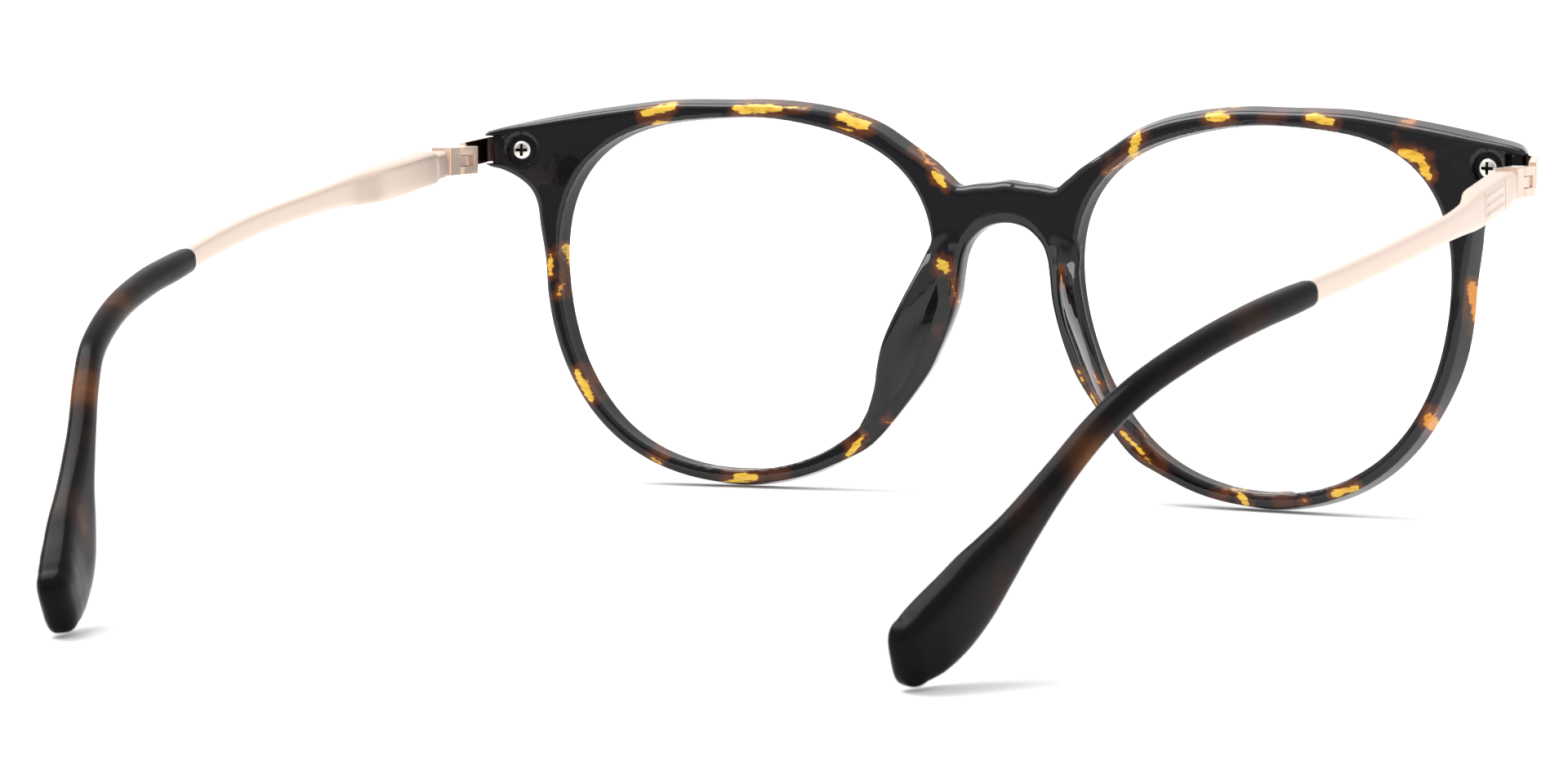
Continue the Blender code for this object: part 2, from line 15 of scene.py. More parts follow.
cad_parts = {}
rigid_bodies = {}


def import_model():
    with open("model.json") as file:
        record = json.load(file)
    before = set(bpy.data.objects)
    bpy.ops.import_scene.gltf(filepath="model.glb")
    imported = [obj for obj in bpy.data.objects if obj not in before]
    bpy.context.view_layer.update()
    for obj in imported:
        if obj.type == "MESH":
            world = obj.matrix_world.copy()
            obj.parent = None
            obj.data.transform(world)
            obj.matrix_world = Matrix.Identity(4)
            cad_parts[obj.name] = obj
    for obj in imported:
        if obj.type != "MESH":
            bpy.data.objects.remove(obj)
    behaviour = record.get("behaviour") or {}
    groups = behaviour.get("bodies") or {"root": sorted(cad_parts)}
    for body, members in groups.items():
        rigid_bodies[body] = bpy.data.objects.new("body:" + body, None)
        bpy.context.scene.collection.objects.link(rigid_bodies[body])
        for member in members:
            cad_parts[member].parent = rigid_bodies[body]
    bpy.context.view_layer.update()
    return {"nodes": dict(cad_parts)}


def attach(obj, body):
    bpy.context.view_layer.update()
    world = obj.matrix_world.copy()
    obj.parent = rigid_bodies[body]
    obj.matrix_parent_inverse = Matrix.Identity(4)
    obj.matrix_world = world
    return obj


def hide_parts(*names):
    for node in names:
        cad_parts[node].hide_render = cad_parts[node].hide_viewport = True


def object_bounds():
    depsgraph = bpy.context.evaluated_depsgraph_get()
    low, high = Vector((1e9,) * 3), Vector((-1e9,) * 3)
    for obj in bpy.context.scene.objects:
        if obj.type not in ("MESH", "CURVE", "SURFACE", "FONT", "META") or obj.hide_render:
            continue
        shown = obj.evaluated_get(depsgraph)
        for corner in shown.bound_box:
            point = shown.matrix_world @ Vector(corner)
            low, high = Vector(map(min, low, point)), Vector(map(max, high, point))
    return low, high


for old in list(bpy.data.objects):
    bpy.data.objects.remove(old, do_unlink=True)
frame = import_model()
SIDES = (("left", 1), ("right", -1))

# ---------------------------------------------------------------- driving dimensions, mm
LIFT_Z = 42.75
CENTRE_Y = 74.14
PIVOT_Y = -1.0                         # the whole frame tilts about this y
TILT = math.radians(0.78)
COS, SIN = math.cos(TILT), math.sin(TILT)

LENS_CENTRE = (34.8, -13.4)            # x, z
# radii of the lens opening at 16 equal angles, turning from +x towards +z
LENS_RADII = (24.7, 24.5, 22.2, 19.1, 18.1, 18.9, 21.6, 24.7,
              25.3, 25.3, 26.2, 27.1, 27.4, 27.6, 26.9, 25.4)
FRONT_T = 3.6                          # thickness of the front
CURVE_X, CURVE_Z = 0.00154, 0.0011     # bow of the front, y per mm squared
RIM_W = 1.95
GROOVE_AT = -1.8                       # depth of the lens's middle from the back face
LENS_T = 1.3
SCREW_X = 64.0                         # endpiece screw
BORE_R = 0.95                          # bore along the spring box

# outer outline of the left half, x and z, clockwise seen from -y turned to +y
BRIDGE_TOP = ((0.0, -3.1), (3.4, -3.8), (6.4, -4.5), (8.4, -3.2), (10.5, -1.2))
TOP_ANGLES = range(148, 80, -9)        # degrees round the lens where the rim is RIM_W wide
BROW = ((44.8, 6.5), (51.0, 5.8), (57.0, 4.9), (63.0, 3.8), (67.0, 3.0), (68.3, 2.4), (68.8, 1.2))
ENDPIECE = ((68.8, -0.9), (68.5, -2.0), (67.6, -2.6), (66.0, -3.0), (64.4, -3.9), (63.1, -5.3),
            (62.4, -7.2), (62.1, -9.8))
LOWER_ANGLES = range(-2, -134, -9)
NOSE = ((11.2, -28.1), (9.3, -24.6), (7.9, -21.3), (6.9, -18.0), (6.5, -15.0), (6.1, -12.7),
        (5.1, -10.6), (3.0, -8.9), (0.0, -8.3))

# nose pads: z, x of the foot, x of the crest, height of the crest behind the back face
PAD_TOP = ((-8.5, 5.6, 7.8, -1.6), (-10.3, 6.1, 8.5, -0.7))
PADS = ((-12.0, 6.4, 10.1, 0.2), (-14.5, 6.7, 10.6, 2.2), (-17.5, 7.0, 11.5, 3.8),
        (-20.5, 7.8, 12.6, 4.9), (-23.5, 9.1, 13.8, 5.2), (-26.5, 10.5, 14.8, 4.7),
        (-29.0, 11.9, 15.6, 3.6), (-31.5, 13.7, 16.9, 2.0), (-33.5, 15.4, 18.2, 0.3))
PAD_BOTTOM = ((-36.0, 17.2, 19.0, -1.2),)
PAD_TRIM = (0.5, 0.35, 0.15, 0.1, 0.15, 0.3, 0.4, 0.5, 0.5)   # taken off each crest x of PADS

# temple stations: centre x, y, z, height, thickness
BOX_MOUTH = (69.60, 19.1, -1.50)       # front end of the spring box, centre only
BOX_END = (70.17, 35.0, -3.44, 4.3, 2.6)
BAR = ((70.6, 38.6, -3.87, 4.0, 1.9), (70.95, 42.5, -4.3, 3.4, 1.35),
       (70.95, 50.0, -5.1, 2.8, 1.25), (70.5, 60.0, -6.2, 2.65, 1.2),
       (69.7, 70.0, -7.45, 2.6, 1.2), (68.5, 79.0, -8.7, 2.6, 1.2),
       (67.0, 88.0, -10.0, 2.5, 1.2), (66.6, 90.5, -10.35, 2.5, 1.2))
TIP = ((66.98, 88.1, -10.02, 2.9, 2.6), (66.2, 93.0, -10.7, 3.1, 2.9),
       (64.9, 101.0, -11.9, 3.1, 2.9), (62.8, 111.0, -14.1, 3.0, 2.8),
       (60.0, 120.5, -17.4, 2.9, 2.7), (57.5, 126.4, -21.1, 2.9, 2.7),
       (55.1, 131.3, -25.6, 3.2, 2.8), (53.0, 135.8, -30.1, 4.9, 3.0),
       (51.5, 138.8, -33.2, 6.9, 3.1), (50.3, 141.4, -35.65, 8.3, 3.3),
       (49.2, 144.1, -37.85, 8.5, 3.5), (48.2, 146.7, -39.5, 8.2, 3.7),
       (47.5, 148.5, -40.45, 7.6, 3.7), (47.1, 149.6, -41.0, 7.0, 3.6))
TIP_TO = (46.3, 152.0, -42.15)         # far end of the tip
TIP_SOCKET = ((67.2, 87.0, -9.83, 2.75, 1.45), (66.6, 90.6, -10.36, 2.75, 1.45))

# streaks in the acetate: from x, z, to x, z, half width, tone (1 pale amber, 0.5 deep orange)
STREAKS = (
    (47.9, 4.9, 43.9, 5.9, 0.72, 1.0), (47.2, 3.5, 44.7, 3.8, 0.31, 1.0),
    (35.6, 5.6, 29.8, 5.7, 0.72, 1.0), (30.0, 5.9, 26.3, 5.8, 0.18, 1.0),
    (22.1, 4.8, 18.3, 3.5, 0.72, 1.0), (22.4, 3.5, 20.2, 3.0, 0.26, 1.0),
    (9.4, -2.2, 7.9, -3.6, 0.52, 1.0), (12.5, 0.9, 9.0, -2.0, 0.18, 0.55),
    (60.4, -16.1, 60.3, -13.7, 0.46, 0.9), (58.9, -12.6, 58.1, -18.2, 0.52, 1.0),
    (59.3, -18.8, 59.1, -17.5, 0.21, 0.7), (56.8, -28.6, 54.7, -32.3, 0.62, 1.0),
    (55.5, -28.3, 53.7, -30.7, 0.41, 0.9), (46.2, -37.9, 44.6, -38.5, 0.46, 1.0),
    (46.7, -39.5, 45.4, -40.2, 0.31, 0.8), (35.3, -41.6, 32.7, -41.5, 0.72, 1.0),
    (37.1, -42.3, 33.1, -42.1, 0.31, 1.0), (20.4, -38.3, 18.5, -36.0, 0.57, 1.0),
    (8.3, -13.2, 7.5, -14.4, 0.72, 1.0), (5.8, -20.6, 7.3, -13.6, 0.18, 0.6),
    (15.8, -33.8, 14.3, -34.2, 0.26, 0.45), (-17.0, 0.3, -18.1, 3.2, 0.82, 0.95),
    (-13.7, -1.7, -19.0, 1.2, 0.18, 0.8), (-27.3, 5.6, -29.9, 5.6, 0.77, 1.0),
    (-28.9, 6.3, -31.9, 6.8, 0.21, 0.9), (-40.7, 5.7, -43.7, 5.2, 0.72, 1.0),
    (-52.8, 1.5, -55.6, 1.2, 0.82, 0.92), (-54.8, 1.3, -56.4, -1.1, 0.72, 0.92),
    (-52.6, 5.3, -54.3, 5.2, 0.21, 0.5), (-61.8, -14.2, -62.4, -19.5, 0.62, 0.6),
    (-62.2, -17.1, -62.4, -19.4, 0.41, 0.75), (-56.9, -31.7, -57.0, -29.9, 0.77, 0.6),
    (-44.6, -40.2, -47.7, -39.3, 0.52, 0.95), (-40.6, -41.2, -41.2, -41.2, 0.31, 0.7),
    (-32.2, -40.8, -33.1, -42.1, 0.62, 1.0), (-30.3, -40.4, -34.2, -40.5, 0.21, 0.8),
    (-16.3, -33.8, -20.2, -37.5, 0.41, 1.0), (-18.6, -33.6, -21.5, -36.1, 0.31, 0.9),
    (-12.0, -29.3, -13.0, -30.9, 0.21, 0.95), (-10.2, -26.5, -10.9, -27.8, 0.19, 0.9),
    (-8.1, -15.7, -8.1, -13.7, 0.18, 0.5), (-13.5, -26.2, -14.5, -28.0, 0.23, 0.5))

# brown clouds in the acetate: x, z, reach
CLOUDS = (
    (46, 5, 5), (33, 6, 6), (20, 4, 6), (9, -3, 4), (60, -16, 4), (56, -30, 5), (47, -39, 5),
    (37, -42, 7), (30, -41, 5), (20, -37, 5), (8, -14, 3), (9, -22, 4), (15, -33, 3),
    (-16, 0, 6), (-29, 6, 5), (-36, 6, 6), (-43, 5, 5), (-52, 4, 4), (-55, 1, 3), (-62, -17, 5),
    (-57, -31, 4), (-46, -40, 5), (-38, -42, 6), (-30, -41, 5), (-22, -38, 5), (-14, -30, 4))

# brown patches in the tips: centre, reach, strength
PATCHES = (((57.0, 127.5, -22.3), 5.6, 0.8), ((50.4, 141.5, -34.0), 4.2, 0.5),
           ((62.0, 112.0, -12.8), 5.5, 0.45), ((-57.4, 128.6, -24.6), 5.2, 0.75),
           ((-52.0, 139.5, -36.0), 3.6, 0.25), ((-64.5, 103.0, -12.5), 5.5, 0.35))


# ---------------------------------------------------------------- frames and curves
def place(points):
    """Design millimetres to world metres."""
    points = np.asarray(points, float)
    y, z = points[..., 1] - PIVOT_Y, points[..., 2] + LIFT_Z
    return np.stack([points[..., 0], y * COS - z * SIN + PIVOT_Y - CENTRE_Y,
                     y * SIN + z * COS], -1) * 0.001


def unplace(points):
    """World metres back to design millimetres."""
    points = points * 1000.0
    y, z = points[:, 1] - PIVOT_Y + CENTRE_Y, points[:, 2]
    return np.stack([points[:, 0], y * COS + z * SIN + PIVOT_Y, -y * SIN + z * COS - LIFT_Z], 1)


def turn(v):
    """Design direction to world direction."""
    return Vector((v[0], v[1] * COS - v[2] * SIN, v[1] * SIN + v[2] * COS))


def bend(x, z, depth=0.0):
    """The y of a point this far behind the bowed back face."""
    return CURVE_X * x * x + CURVE_Z * (z - LENS_CENTRE[1]) ** 2 + depth


def catmull(points, steps):
    """Catmull-Rom curve through the points."""
    p = np.array(points, float)
    p = np.vstack([2 * p[0] - p[1], p, 2 * p[-1] - p[-2]])
    t = (np.arange(steps) / steps)[None, :, None]
    a, b, c, d = (p[i:len(p) - 3 + i][:, None, :] for i in range(4))
    curve = 0.5 * (2 * b + (c - a) * t + (2 * a - 5 * b + 4 * c - d) * t ** 2
                   + (3 * b - a - 3 * c + d) * t ** 3)
    return np.vstack([curve.reshape(-1, p.shape[1]), p[-2]])


def lens_curve(angle, offset=0.0):
    """Fourier curve through LENS_RADII at these angles, moved out along its normal."""
    count = len(LENS_RADII)
    terms = np.fft.rfft(LENS_RADII) / count
    order = np.arange(1, len(terms))
    weight = np.where(order == count // 2, 1.0, 2.0)
    wave = np.exp(1j * np.outer(angle, order))
    radius = terms[0].real + (weight * (terms[1:] * wave).real).sum(1)
    slope = (weight * (1j * order * terms[1:] * wave).real).sum(1)
    cos, sin = np.cos(angle), np.sin(angle)
    tangent = np.stack([slope * cos - radius * sin, slope * sin + radius * cos], 1)
    normal = np.stack([tangent[:, 1], -tangent[:, 0]], 1)
    normal = normal / np.hypot(tangent[:, 0], tangent[:, 1])[:, None]
    curve = np.stack([LENS_CENTRE[0] + radius * cos, LENS_CENTRE[1] + radius * sin], 1)
    return curve + offset * normal


def outline_half(steps=8):
    """Outer outline of the left half, from the bridge's top round to its underside."""
    top, lower = (lens_curve(np.array([math.radians(a) for a in angles]), RIM_W)
                  for angles in (TOP_ANGLES, LOWER_ANGLES))
    half = np.vstack([np.array(h, float) for h in (BRIDGE_TOP, top, BROW, ENDPIECE, lower, NOSE)])
    both_ends = np.vstack([half[1] * (-1, 1), half, half[-2] * (-1, 1)])
    return catmull(both_ends, steps)[steps:-steps]


# ---------------------------------------------------------------- mesh building
def shade(mesh, sharp):
    mesh.shade_smooth()
    mesh.set_sharp_from_angle(angle=math.radians(sharp))


def link_object(name, mesh):
    obj = bpy.data.objects.new(name, mesh)
    bpy.context.scene.collection.objects.link(obj)
    return obj


def new_mesh(name, points, faces, material=None, sharp=35):
    """One object from world points; faces are an array of quads or a list of tuples."""
    mesh = bpy.data.meshes.new(name)
    points = np.asarray(points, np.float32)
    if isinstance(faces, np.ndarray):
        count, corners = faces.shape
        mesh.vertices.add(len(points))
        mesh.vertices.foreach_set("co", points.ravel())
        mesh.loops.add(count * corners)
        mesh.loops.foreach_set("vertex_index", faces.ravel().astype(np.int32))
        mesh.polygons.add(count)
        starts = np.arange(0, count * corners, corners, dtype=np.int32)
        mesh.polygons.foreach_set("loop_start", starts)
        mesh.update(calc_edges=True)
        mesh.validate()
    else:
        mesh.from_pydata(points.tolist(), [], faces)
        mesh.update()
    shade(mesh, sharp)
    obj = link_object(name, mesh)
    if material:
        mesh.materials.append(material)
    return obj


def outward(obj):
    """Merge doubles and turn the faces outwards."""
    bm = bmesh.new()
    bm.from_mesh(obj.data)
    bmesh.ops.remove_doubles(bm, verts=bm.verts, dist=1e-8)
    bmesh.ops.recalc_face_normals(bm, faces=bm.faces)
    if bm.calc_volume(signed=True) < 0:
        bmesh.ops.reverse_faces(bm, faces=bm.faces)
    bm.to_mesh(obj.data)
    bm.free()
    return obj


def solid(name, rings, material=None, sharp=35):
    """Closed solid lofted through rings of design points."""
    rings = np.asarray(rings, float)
    m, n = rings.shape[:2]
    faces = [(a * n + j, a * n + (j + 1) % n, (a + 1) * n + (j + 1) % n, (a + 1) * n + j)
             for a in range(m - 1) for j in range(n)]
    faces.append(tuple(range(n))[::-1])
    faces.append(tuple(range((m - 1) * n, m * n)))
    return outward(new_mesh(name, place(rings.reshape(-1, 3)), faces, material, sharp))


def rod(name, start, end, profile, sides, material=None):
    """Turned bar; profile is (share of the length, radius)."""
    start, end = Vector(start), Vector(end)
    axis = (end - start).normalized()
    across = axis.orthogonal().normalized()
    other = axis.cross(across)
    angles = [2 * math.pi * k / sides for k in range(sides)]
    rings = [[tuple(start.lerp(end, share)
                    + radius * (math.cos(q) * across + math.sin(q) * other)) for q in angles]
             for share, radius in profile]
    return solid(name, rings, material)


def boolean(obj, tools, operation="DIFFERENCE", sharp=35):
    """Apply the tools to the object and remove them."""
    for tool in tools:
        modifier = obj.modifiers.new(tool.name, "BOOLEAN")
        modifier.operation, modifier.object, modifier.solver = operation, tool, "EXACT"
    bpy.context.view_layer.update()
    evaluated = obj.evaluated_get(bpy.context.evaluated_depsgraph_get())
    mesh = bpy.data.meshes.new_from_object(evaluated)
    materials = [m for m in obj.data.materials if m]
    obj.modifiers.clear()
    obj.data = mesh
    mesh.name = obj.name
    mesh.materials.clear()
    for m in materials:
        mesh.materials.append(m)
    shade(mesh, sharp)
    for tool in tools:
        bpy.data.objects.remove(tool)


def mirrored(obj, name):
    mesh = obj.data.copy()
    mesh.name = name
    mesh.transform(Matrix.Scale(-1, 4, (1, 0, 0)))
    mesh.flip_normals()
    return link_object(name, mesh)


def register(obj, rides, node):
    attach(obj, rides)
    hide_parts(node)


def register_pair(left, rides, node):
    """Mirror a left piece and register both; {} in rides and node stands for the side."""
    right = mirrored(left, left.name.replace("left", "right"))
    for obj, side in ((left, "left"), (right, "right")):
        register(obj, rides.format(side), node.format(side))


# ---------------------------------------------------------------- node graphs
class Graph:
    """Short-hand for a node tree."""

    def __init__(self, tree):
        self.tree = tree

    def add(self, kind, **values):
        node = self.tree.nodes.new(kind)
        for key, value in values.items():
            setattr(node, key, value)
        return node

    def put(self, socket, value):
        """Link an output, or set a number or an RGB colour."""
        if hasattr(value, "is_output"):
            self.tree.links.new(value, socket)
        else:
            socket.default_value = (*value, 1) if isinstance(value, tuple) else value

    def math(self, operation, a, b, clamp=False):
        node = self.add("ShaderNodeMath", operation=operation, use_clamp=clamp)
        self.put(node.inputs[0], a)
        self.put(node.inputs[1], b)
        return node.outputs[0]

    def plus(self, a, b):
        return self.math("ADD", a, b)

    def minus(self, a, b, clamp=False):
        return self.math("SUBTRACT", a, b, clamp)

    def times(self, a, b, clamp=False):
        return self.math("MULTIPLY", a, b, clamp)

    def stretch(self, value, middle, gain, clamp=False):
        """(value - middle) * gain"""
        return self.times(self.minus(value, middle), gain, clamp)

    def blend(self, base, value, gain):
        """base + value * gain"""
        return self.plus(base, self.times(value, gain))

    def vector_math(self, operation, vector):
        node = self.add("ShaderNodeVectorMath", operation=operation)
        self.put(node.inputs[0], vector)
        return node

    def attribute(self, name):
        return self.add("ShaderNodeAttribute", attribute_name=name).outputs["Fac"]

    def camera_ray(self):
        return self.add("ShaderNodeLightPath").outputs["Is Camera Ray"]

    def separate(self, vector):
        node = self.add("ShaderNodeSeparateXYZ")
        self.put(node.inputs[0], vector)
        return node.outputs

    def coords(self, scale=(1, 1, 1), rotation=(0, 0, 0)):
        source = self.add("ShaderNodeTexCoord")
        mapping = self.add("ShaderNodeMapping")
        mapping.inputs["Scale"].default_value = scale
        mapping.inputs["Rotation"].default_value = rotation
        self.put(mapping.inputs["Vector"], source.outputs["Object"])
        return mapping.outputs[0]

    def noise(self, vector, scale, detail=3.0, rough=0.5, distortion=0.0):
        node = self.add("ShaderNodeTexNoise")
        for key, value in (("Vector", vector), ("Scale", scale), ("Detail", detail),
                           ("Roughness", rough), ("Distortion", distortion)):
            self.put(node.inputs[key], value)
        return node.outputs["Fac"]

    def ramp(self, fac, stops):
        node = self.add("ShaderNodeValToRGB")
        elements = node.color_ramp.elements
        while len(elements) > 1:
            elements.remove(elements[-1])
        elements[0].position, elements[0].color = stops[0][0], (*stops[0][1], 1)
        for position, colour in stops[1:]:
            elements.new(position).color = (*colour, 1)
        self.put(node.inputs[0], fac)
        return node.outputs[0]

    def mix(self, fac, a, b):
        node = self.add("ShaderNodeMix", data_type="RGBA")
        for socket, value in ((0, fac), (6, a), (7, b)):
            self.put(node.inputs[socket], value)
        return node.outputs[2]

    def bump(self, height, strength, distance):
        node = self.add("ShaderNodeBump")
        for key, value in (("Strength", strength), ("Distance", distance), ("Height", height)):
            self.put(node.inputs[key], value)
        return node.outputs[0]


class Shader(Graph):
    """Graph of a new material."""

    def __init__(self, name):
        self.material = bpy.data.materials.new(name)
        self.material.use_nodes = True
        super().__init__(self.material.node_tree)
        self.tree.nodes.clear()
        self.surface = self.add("ShaderNodeOutputMaterial").inputs[0]

    def principled(self, **values):
        """Finish with a Principled surface; underscores stand for spaces in socket names."""
        node = self.add("ShaderNodeBsdfPrincipled")
        for key, value in values.items():
            self.put(node.inputs[key.replace("_", " ")], value)
        self.put(self.surface, node.outputs[0])
        return self.material


# ---------------------------------------------------------------- materials
def tortoise_acetate():
    """Near-black ground, soft brown clouds, crisp amber streaks with brown halos."""
    nodes = Shader("tortoise_acetate")
    here = nodes.coords()
    streak, tone, cloud = (nodes.attribute(key) for key in ("streak", "tone", "cloud"))
    warp = nodes.noise(here, scale=520.0, detail=2.0, rough=0.55)
    fine_at = nodes.coords(scale=(0.6, 1.0, 1.6), rotation=(0, 0.5, 0))
    fine = nodes.noise(fine_at, scale=1500.0, detail=2.0)
    wobble = nodes.plus(nodes.stretch(warp, middle=0.5, gain=1.0),
                        nodes.stretch(fine, middle=0.5, gain=0.55))
    ragged = nodes.plus(streak, wobble)
    grain_at = nodes.coords(scale=(0.45, 1.0, 2.2), rotation=(0, 0.3, 0))
    grain = nodes.noise(grain_at, scale=1100.0, detail=2.0)
    edge_gain = 4.5                    # crispness of the streaks
    inside = nodes.times(nodes.plus(ragged, nodes.stretch(grain, middle=0.6, gain=1.3)),
                         edge_gain, clamp=True)
    halo_reach, halo_gain = 1.3, 0.75
    halo = nodes.times(nodes.plus(nodes.plus(streak, halo_reach),
                                  nodes.stretch(warp, middle=0.5, gain=3.0)),
                       halo_gain, clamp=True)
    soft = nodes.noise(here, scale=260.0, rough=0.55)
    brown = nodes.stretch(nodes.blend(soft, cloud, gain=0.9), middle=0.585, gain=5.0, clamp=True)
    pale_spots = nodes.noise(here, scale=1500.0, detail=2.0)

    near_black, cloud_brown = (0.0055, 0.0052, 0.0068), (0.085, 0.024, 0.0095)
    halo_dark, halo_light = (0.055, 0.014, 0.007), (0.21, 0.058, 0.012)
    vein_brown, pale_amber = (0.46, 0.17, 0.014), (0.98, 0.74, 0.22)
    ground = nodes.mix(nodes.times(brown, 0.8), near_black, cloud_brown)
    ground = nodes.mix(nodes.times(halo, 0.85), ground, nodes.mix(fine, halo_dark, halo_light))
    amber = nodes.ramp(tone, [(0.4, (0.52, 0.14, 0.012)), (0.62, (0.74, 0.27, 0.018)),
                              (0.85, (0.80, 0.43, 0.035)), (1.0, (0.82, 0.52, 0.06))])
    vein_at = nodes.coords(scale=(0.45, 1.0, 2.6), rotation=(0, 0.35, 0))
    veins = nodes.noise(vein_at, scale=1300.0, rough=0.6)
    amber = nodes.mix(nodes.stretch(veins, middle=0.5, gain=5.0, clamp=True),
                      amber, nodes.mix(0.7, amber, vein_brown))
    amber = nodes.mix(nodes.stretch(pale_spots, middle=0.56, gain=4.0, clamp=True),
                      amber, nodes.mix(0.45, amber, pale_amber))
    wall = nodes.attribute("wall")
    colour = nodes.mix(inside, ground, amber)
    ripple = nodes.noise(here, scale=350.0, detail=2.0, rough=0.4)
    return nodes.principled(
        Base_Color=colour,
        Roughness=nodes.blend(0.05, wall, gain=0.25),
        IOR=nodes.minus(1.44, nodes.times(wall, 0.2)),
        Normal=nodes.bump(ripple, strength=0.05, distance=0.0004))


def tip_acetate():
    """Near-black ground with soft brown patches."""
    nodes = Shader("tip_acetate")
    stretched = nodes.coords(scale=(1.0, 0.5, 0.75))
    broad = nodes.noise(stretched, scale=150.0, detail=2.0, distortion=0.6)
    fine = nodes.noise(stretched, scale=420.0, rough=0.55, distortion=0.3)
    here = nodes.coords()
    brown = 0.0
    plateau = 1.35                     # above 1 holds a patch's middle at full strength
    for centre, reach, strength in PATCHES:
        gap = nodes.vector_math("DISTANCE", here)
        gap.inputs[1].default_value = place(centre).tolist()
        share = nodes.math("DIVIDE", gap.outputs["Value"], reach * 0.001)
        near = nodes.minus(1.0, share, clamp=True)
        patch = nodes.times(nodes.times(near, plateau, clamp=True), strength)
        brown = nodes.math("MAXIMUM", brown, patch)
    field = nodes.plus(nodes.times(brown, nodes.blend(0.45, fine, gain=1.0)),
                       nodes.stretch(broad, middle=0.56, gain=2.0, clamp=True))
    colour = nodes.ramp(field, [(0.0, (0.0065, 0.006, 0.0066)), (0.35, (0.026, 0.012, 0.008)),
                                (0.7, (0.110, 0.040, 0.015)), (1.0, (0.26, 0.095, 0.028))])
    return nodes.principled(
        Base_Color=colour,
        Roughness=nodes.blend(0.14, fine, gain=0.08),
        IOR=1.12,
        Normal=nodes.bump(fine, strength=0.04, distance=0.0003))


def metal(name, colour, rough, grain=5000.0, along=(1, 1, 1), contrast=0.06, relief=0.04,
          metallic=1.0):
    """Fine-grained metal; along scales the grain per axis, contrast darkens broad areas."""
    nodes = Shader(name)
    here = nodes.coords(scale=along)
    fine = nodes.noise(here, scale=grain, detail=4.0, rough=0.6)
    broad = nodes.noise(here, scale=grain * 0.12, detail=2.0)
    dark = tuple(c * (1 - contrast * 2) for c in colour)
    return nodes.principled(
        Base_Color=nodes.mix(broad, colour, dark),
        Metallic=metallic,
        Roughness=nodes.blend(rough - 0.04, fine, gain=0.1),
        Normal=nodes.bump(fine, strength=relief, distance=0.00005))


def clear_lens():
    """Almost nothing but a faint reflection, with a trace of green."""
    nodes = Shader("clear_lens")
    tint = nodes.noise(nodes.coords(), scale=40.0, detail=1.0)
    clear = nodes.add("ShaderNodeBsdfTransparent")
    nodes.put(clear.inputs[0], nodes.mix(tint, (0.992, 0.996, 0.994), (0.985, 0.993, 0.990)))
    gloss = nodes.add("ShaderNodeBsdfGlossy")
    gloss.inputs["Roughness"].default_value = 0.02
    fresnel = nodes.add("ShaderNodeFresnel")
    fresnel.inputs["IOR"].default_value = 1.35
    mixer = nodes.add("ShaderNodeMixShader")
    nodes.put(mixer.inputs[0], nodes.times(fresnel.outputs[0], 0.5))
    nodes.put(mixer.inputs[1], clear.outputs[0])
    nodes.put(mixer.inputs[2], gloss.outputs[0])
    nodes.put(nodes.surface, mixer.outputs[0])
    return nodes.material


def floor_white():
    """White floor: glows to the camera, and is greyer to other rays behind the temple tips."""
    nodes = Shader("floor_white")
    white = (0.93, 0.93, 0.93)
    cloud = nodes.noise(nodes.coords(), scale=30.0, detail=2.0)
    position = nodes.add("ShaderNodeNewGeometry").outputs["Position"]
    fade = dict(middle=0.16, gain=6.0, clamp=True)     # starts 0.16 m out
    behind = nodes.stretch(nodes.separate(position)[1], **fade)
    unseen = nodes.minus(1.0, nodes.camera_ray())
    grey = nodes.times(nodes.times(behind, unseen), 0.72)
    distance = nodes.vector_math("LENGTH", position).outputs["Value"]
    far = nodes.stretch(distance, **fade)
    near_glow, far_glow = 0.07, 0.6
    glow = nodes.times(nodes.camera_ray(), nodes.plus(nodes.times(far, far_glow), near_glow))
    paper = nodes.mix(cloud, white, tuple(c * 0.995 for c in white))
    return nodes.principled(
        Base_Color=nodes.mix(grey, paper, (0.0, 0.0, 0.0)),
        Roughness=0.9,
        Specular_IOR_Level=0.0,
        Emission_Color=(1.0, 1.0, 1.0),
        Emission_Strength=glow)


ACETATE = tortoise_acetate()
TIP_ACETATE = tip_acetate()
GOLD = metal("rose_gold_metal", (0.85, 0.69, 0.585), rough=0.30, along=(1, 0.2, 1),
             contrast=0.015, relief=0.015, metallic=0.6)
POLISHED = metal("rose_gold_polished", (0.92, 0.71, 0.585), rough=0.20,
                 contrast=0.02, relief=0.01, metallic=0.45)
# dark rose gold: painted shade on the endpiece plate's inner and back faces near the front
PLATE_SHADE = metal("rose_gold_painted_shade", (0.075, 0.052, 0.04), rough=0.28,
                  contrast=0.05, relief=0.02)
STEEL = metal("screw_steel", (0.88, 0.85, 0.79), rough=0.3, grain=7000.0)
SPRING = metal("spring_steel", (0.55, 0.55, 0.56), rough=0.32, grain=9000.0)
# near-black metal: painted shade inside the screws' cross recess
RECESS_SHADE = metal("screw_recess_shade", (0.030, 0.024, 0.02), rough=0.6)
BRASS = metal("bush_brass", (0.78, 0.58, 0.30), rough=0.35, grain=7000.0)
CLEAR = clear_lens()


# ---------------------------------------------------------------- distance tables of the outlines
def signed_distance(loop, x, z):
    """Distance to a closed outline, negative inside."""
    best, inside = np.full(x.shape, 1e9), np.zeros(x.shape, bool)
    for (ax, az), (bx, bz) in zip(loop, np.roll(loop, -1, 0)):
        ex, ez = bx - ax, bz - az
        squared = ex * ex + ez * ez
        if squared < 1e-12:
            continue
        t = np.clip(((x - ax) * ex + (z - az) * ez) / squared, 0, 1)
        np.minimum(best, (x - ax - t * ex) ** 2 + (z - az - t * ez) ** 2, out=best)
        if az != bz:
            inside ^= ((az > z) != (bz > z)) & (x < ex * (z - az) / ez + ax)
    return np.sqrt(best) * np.where(inside, -1, 1)


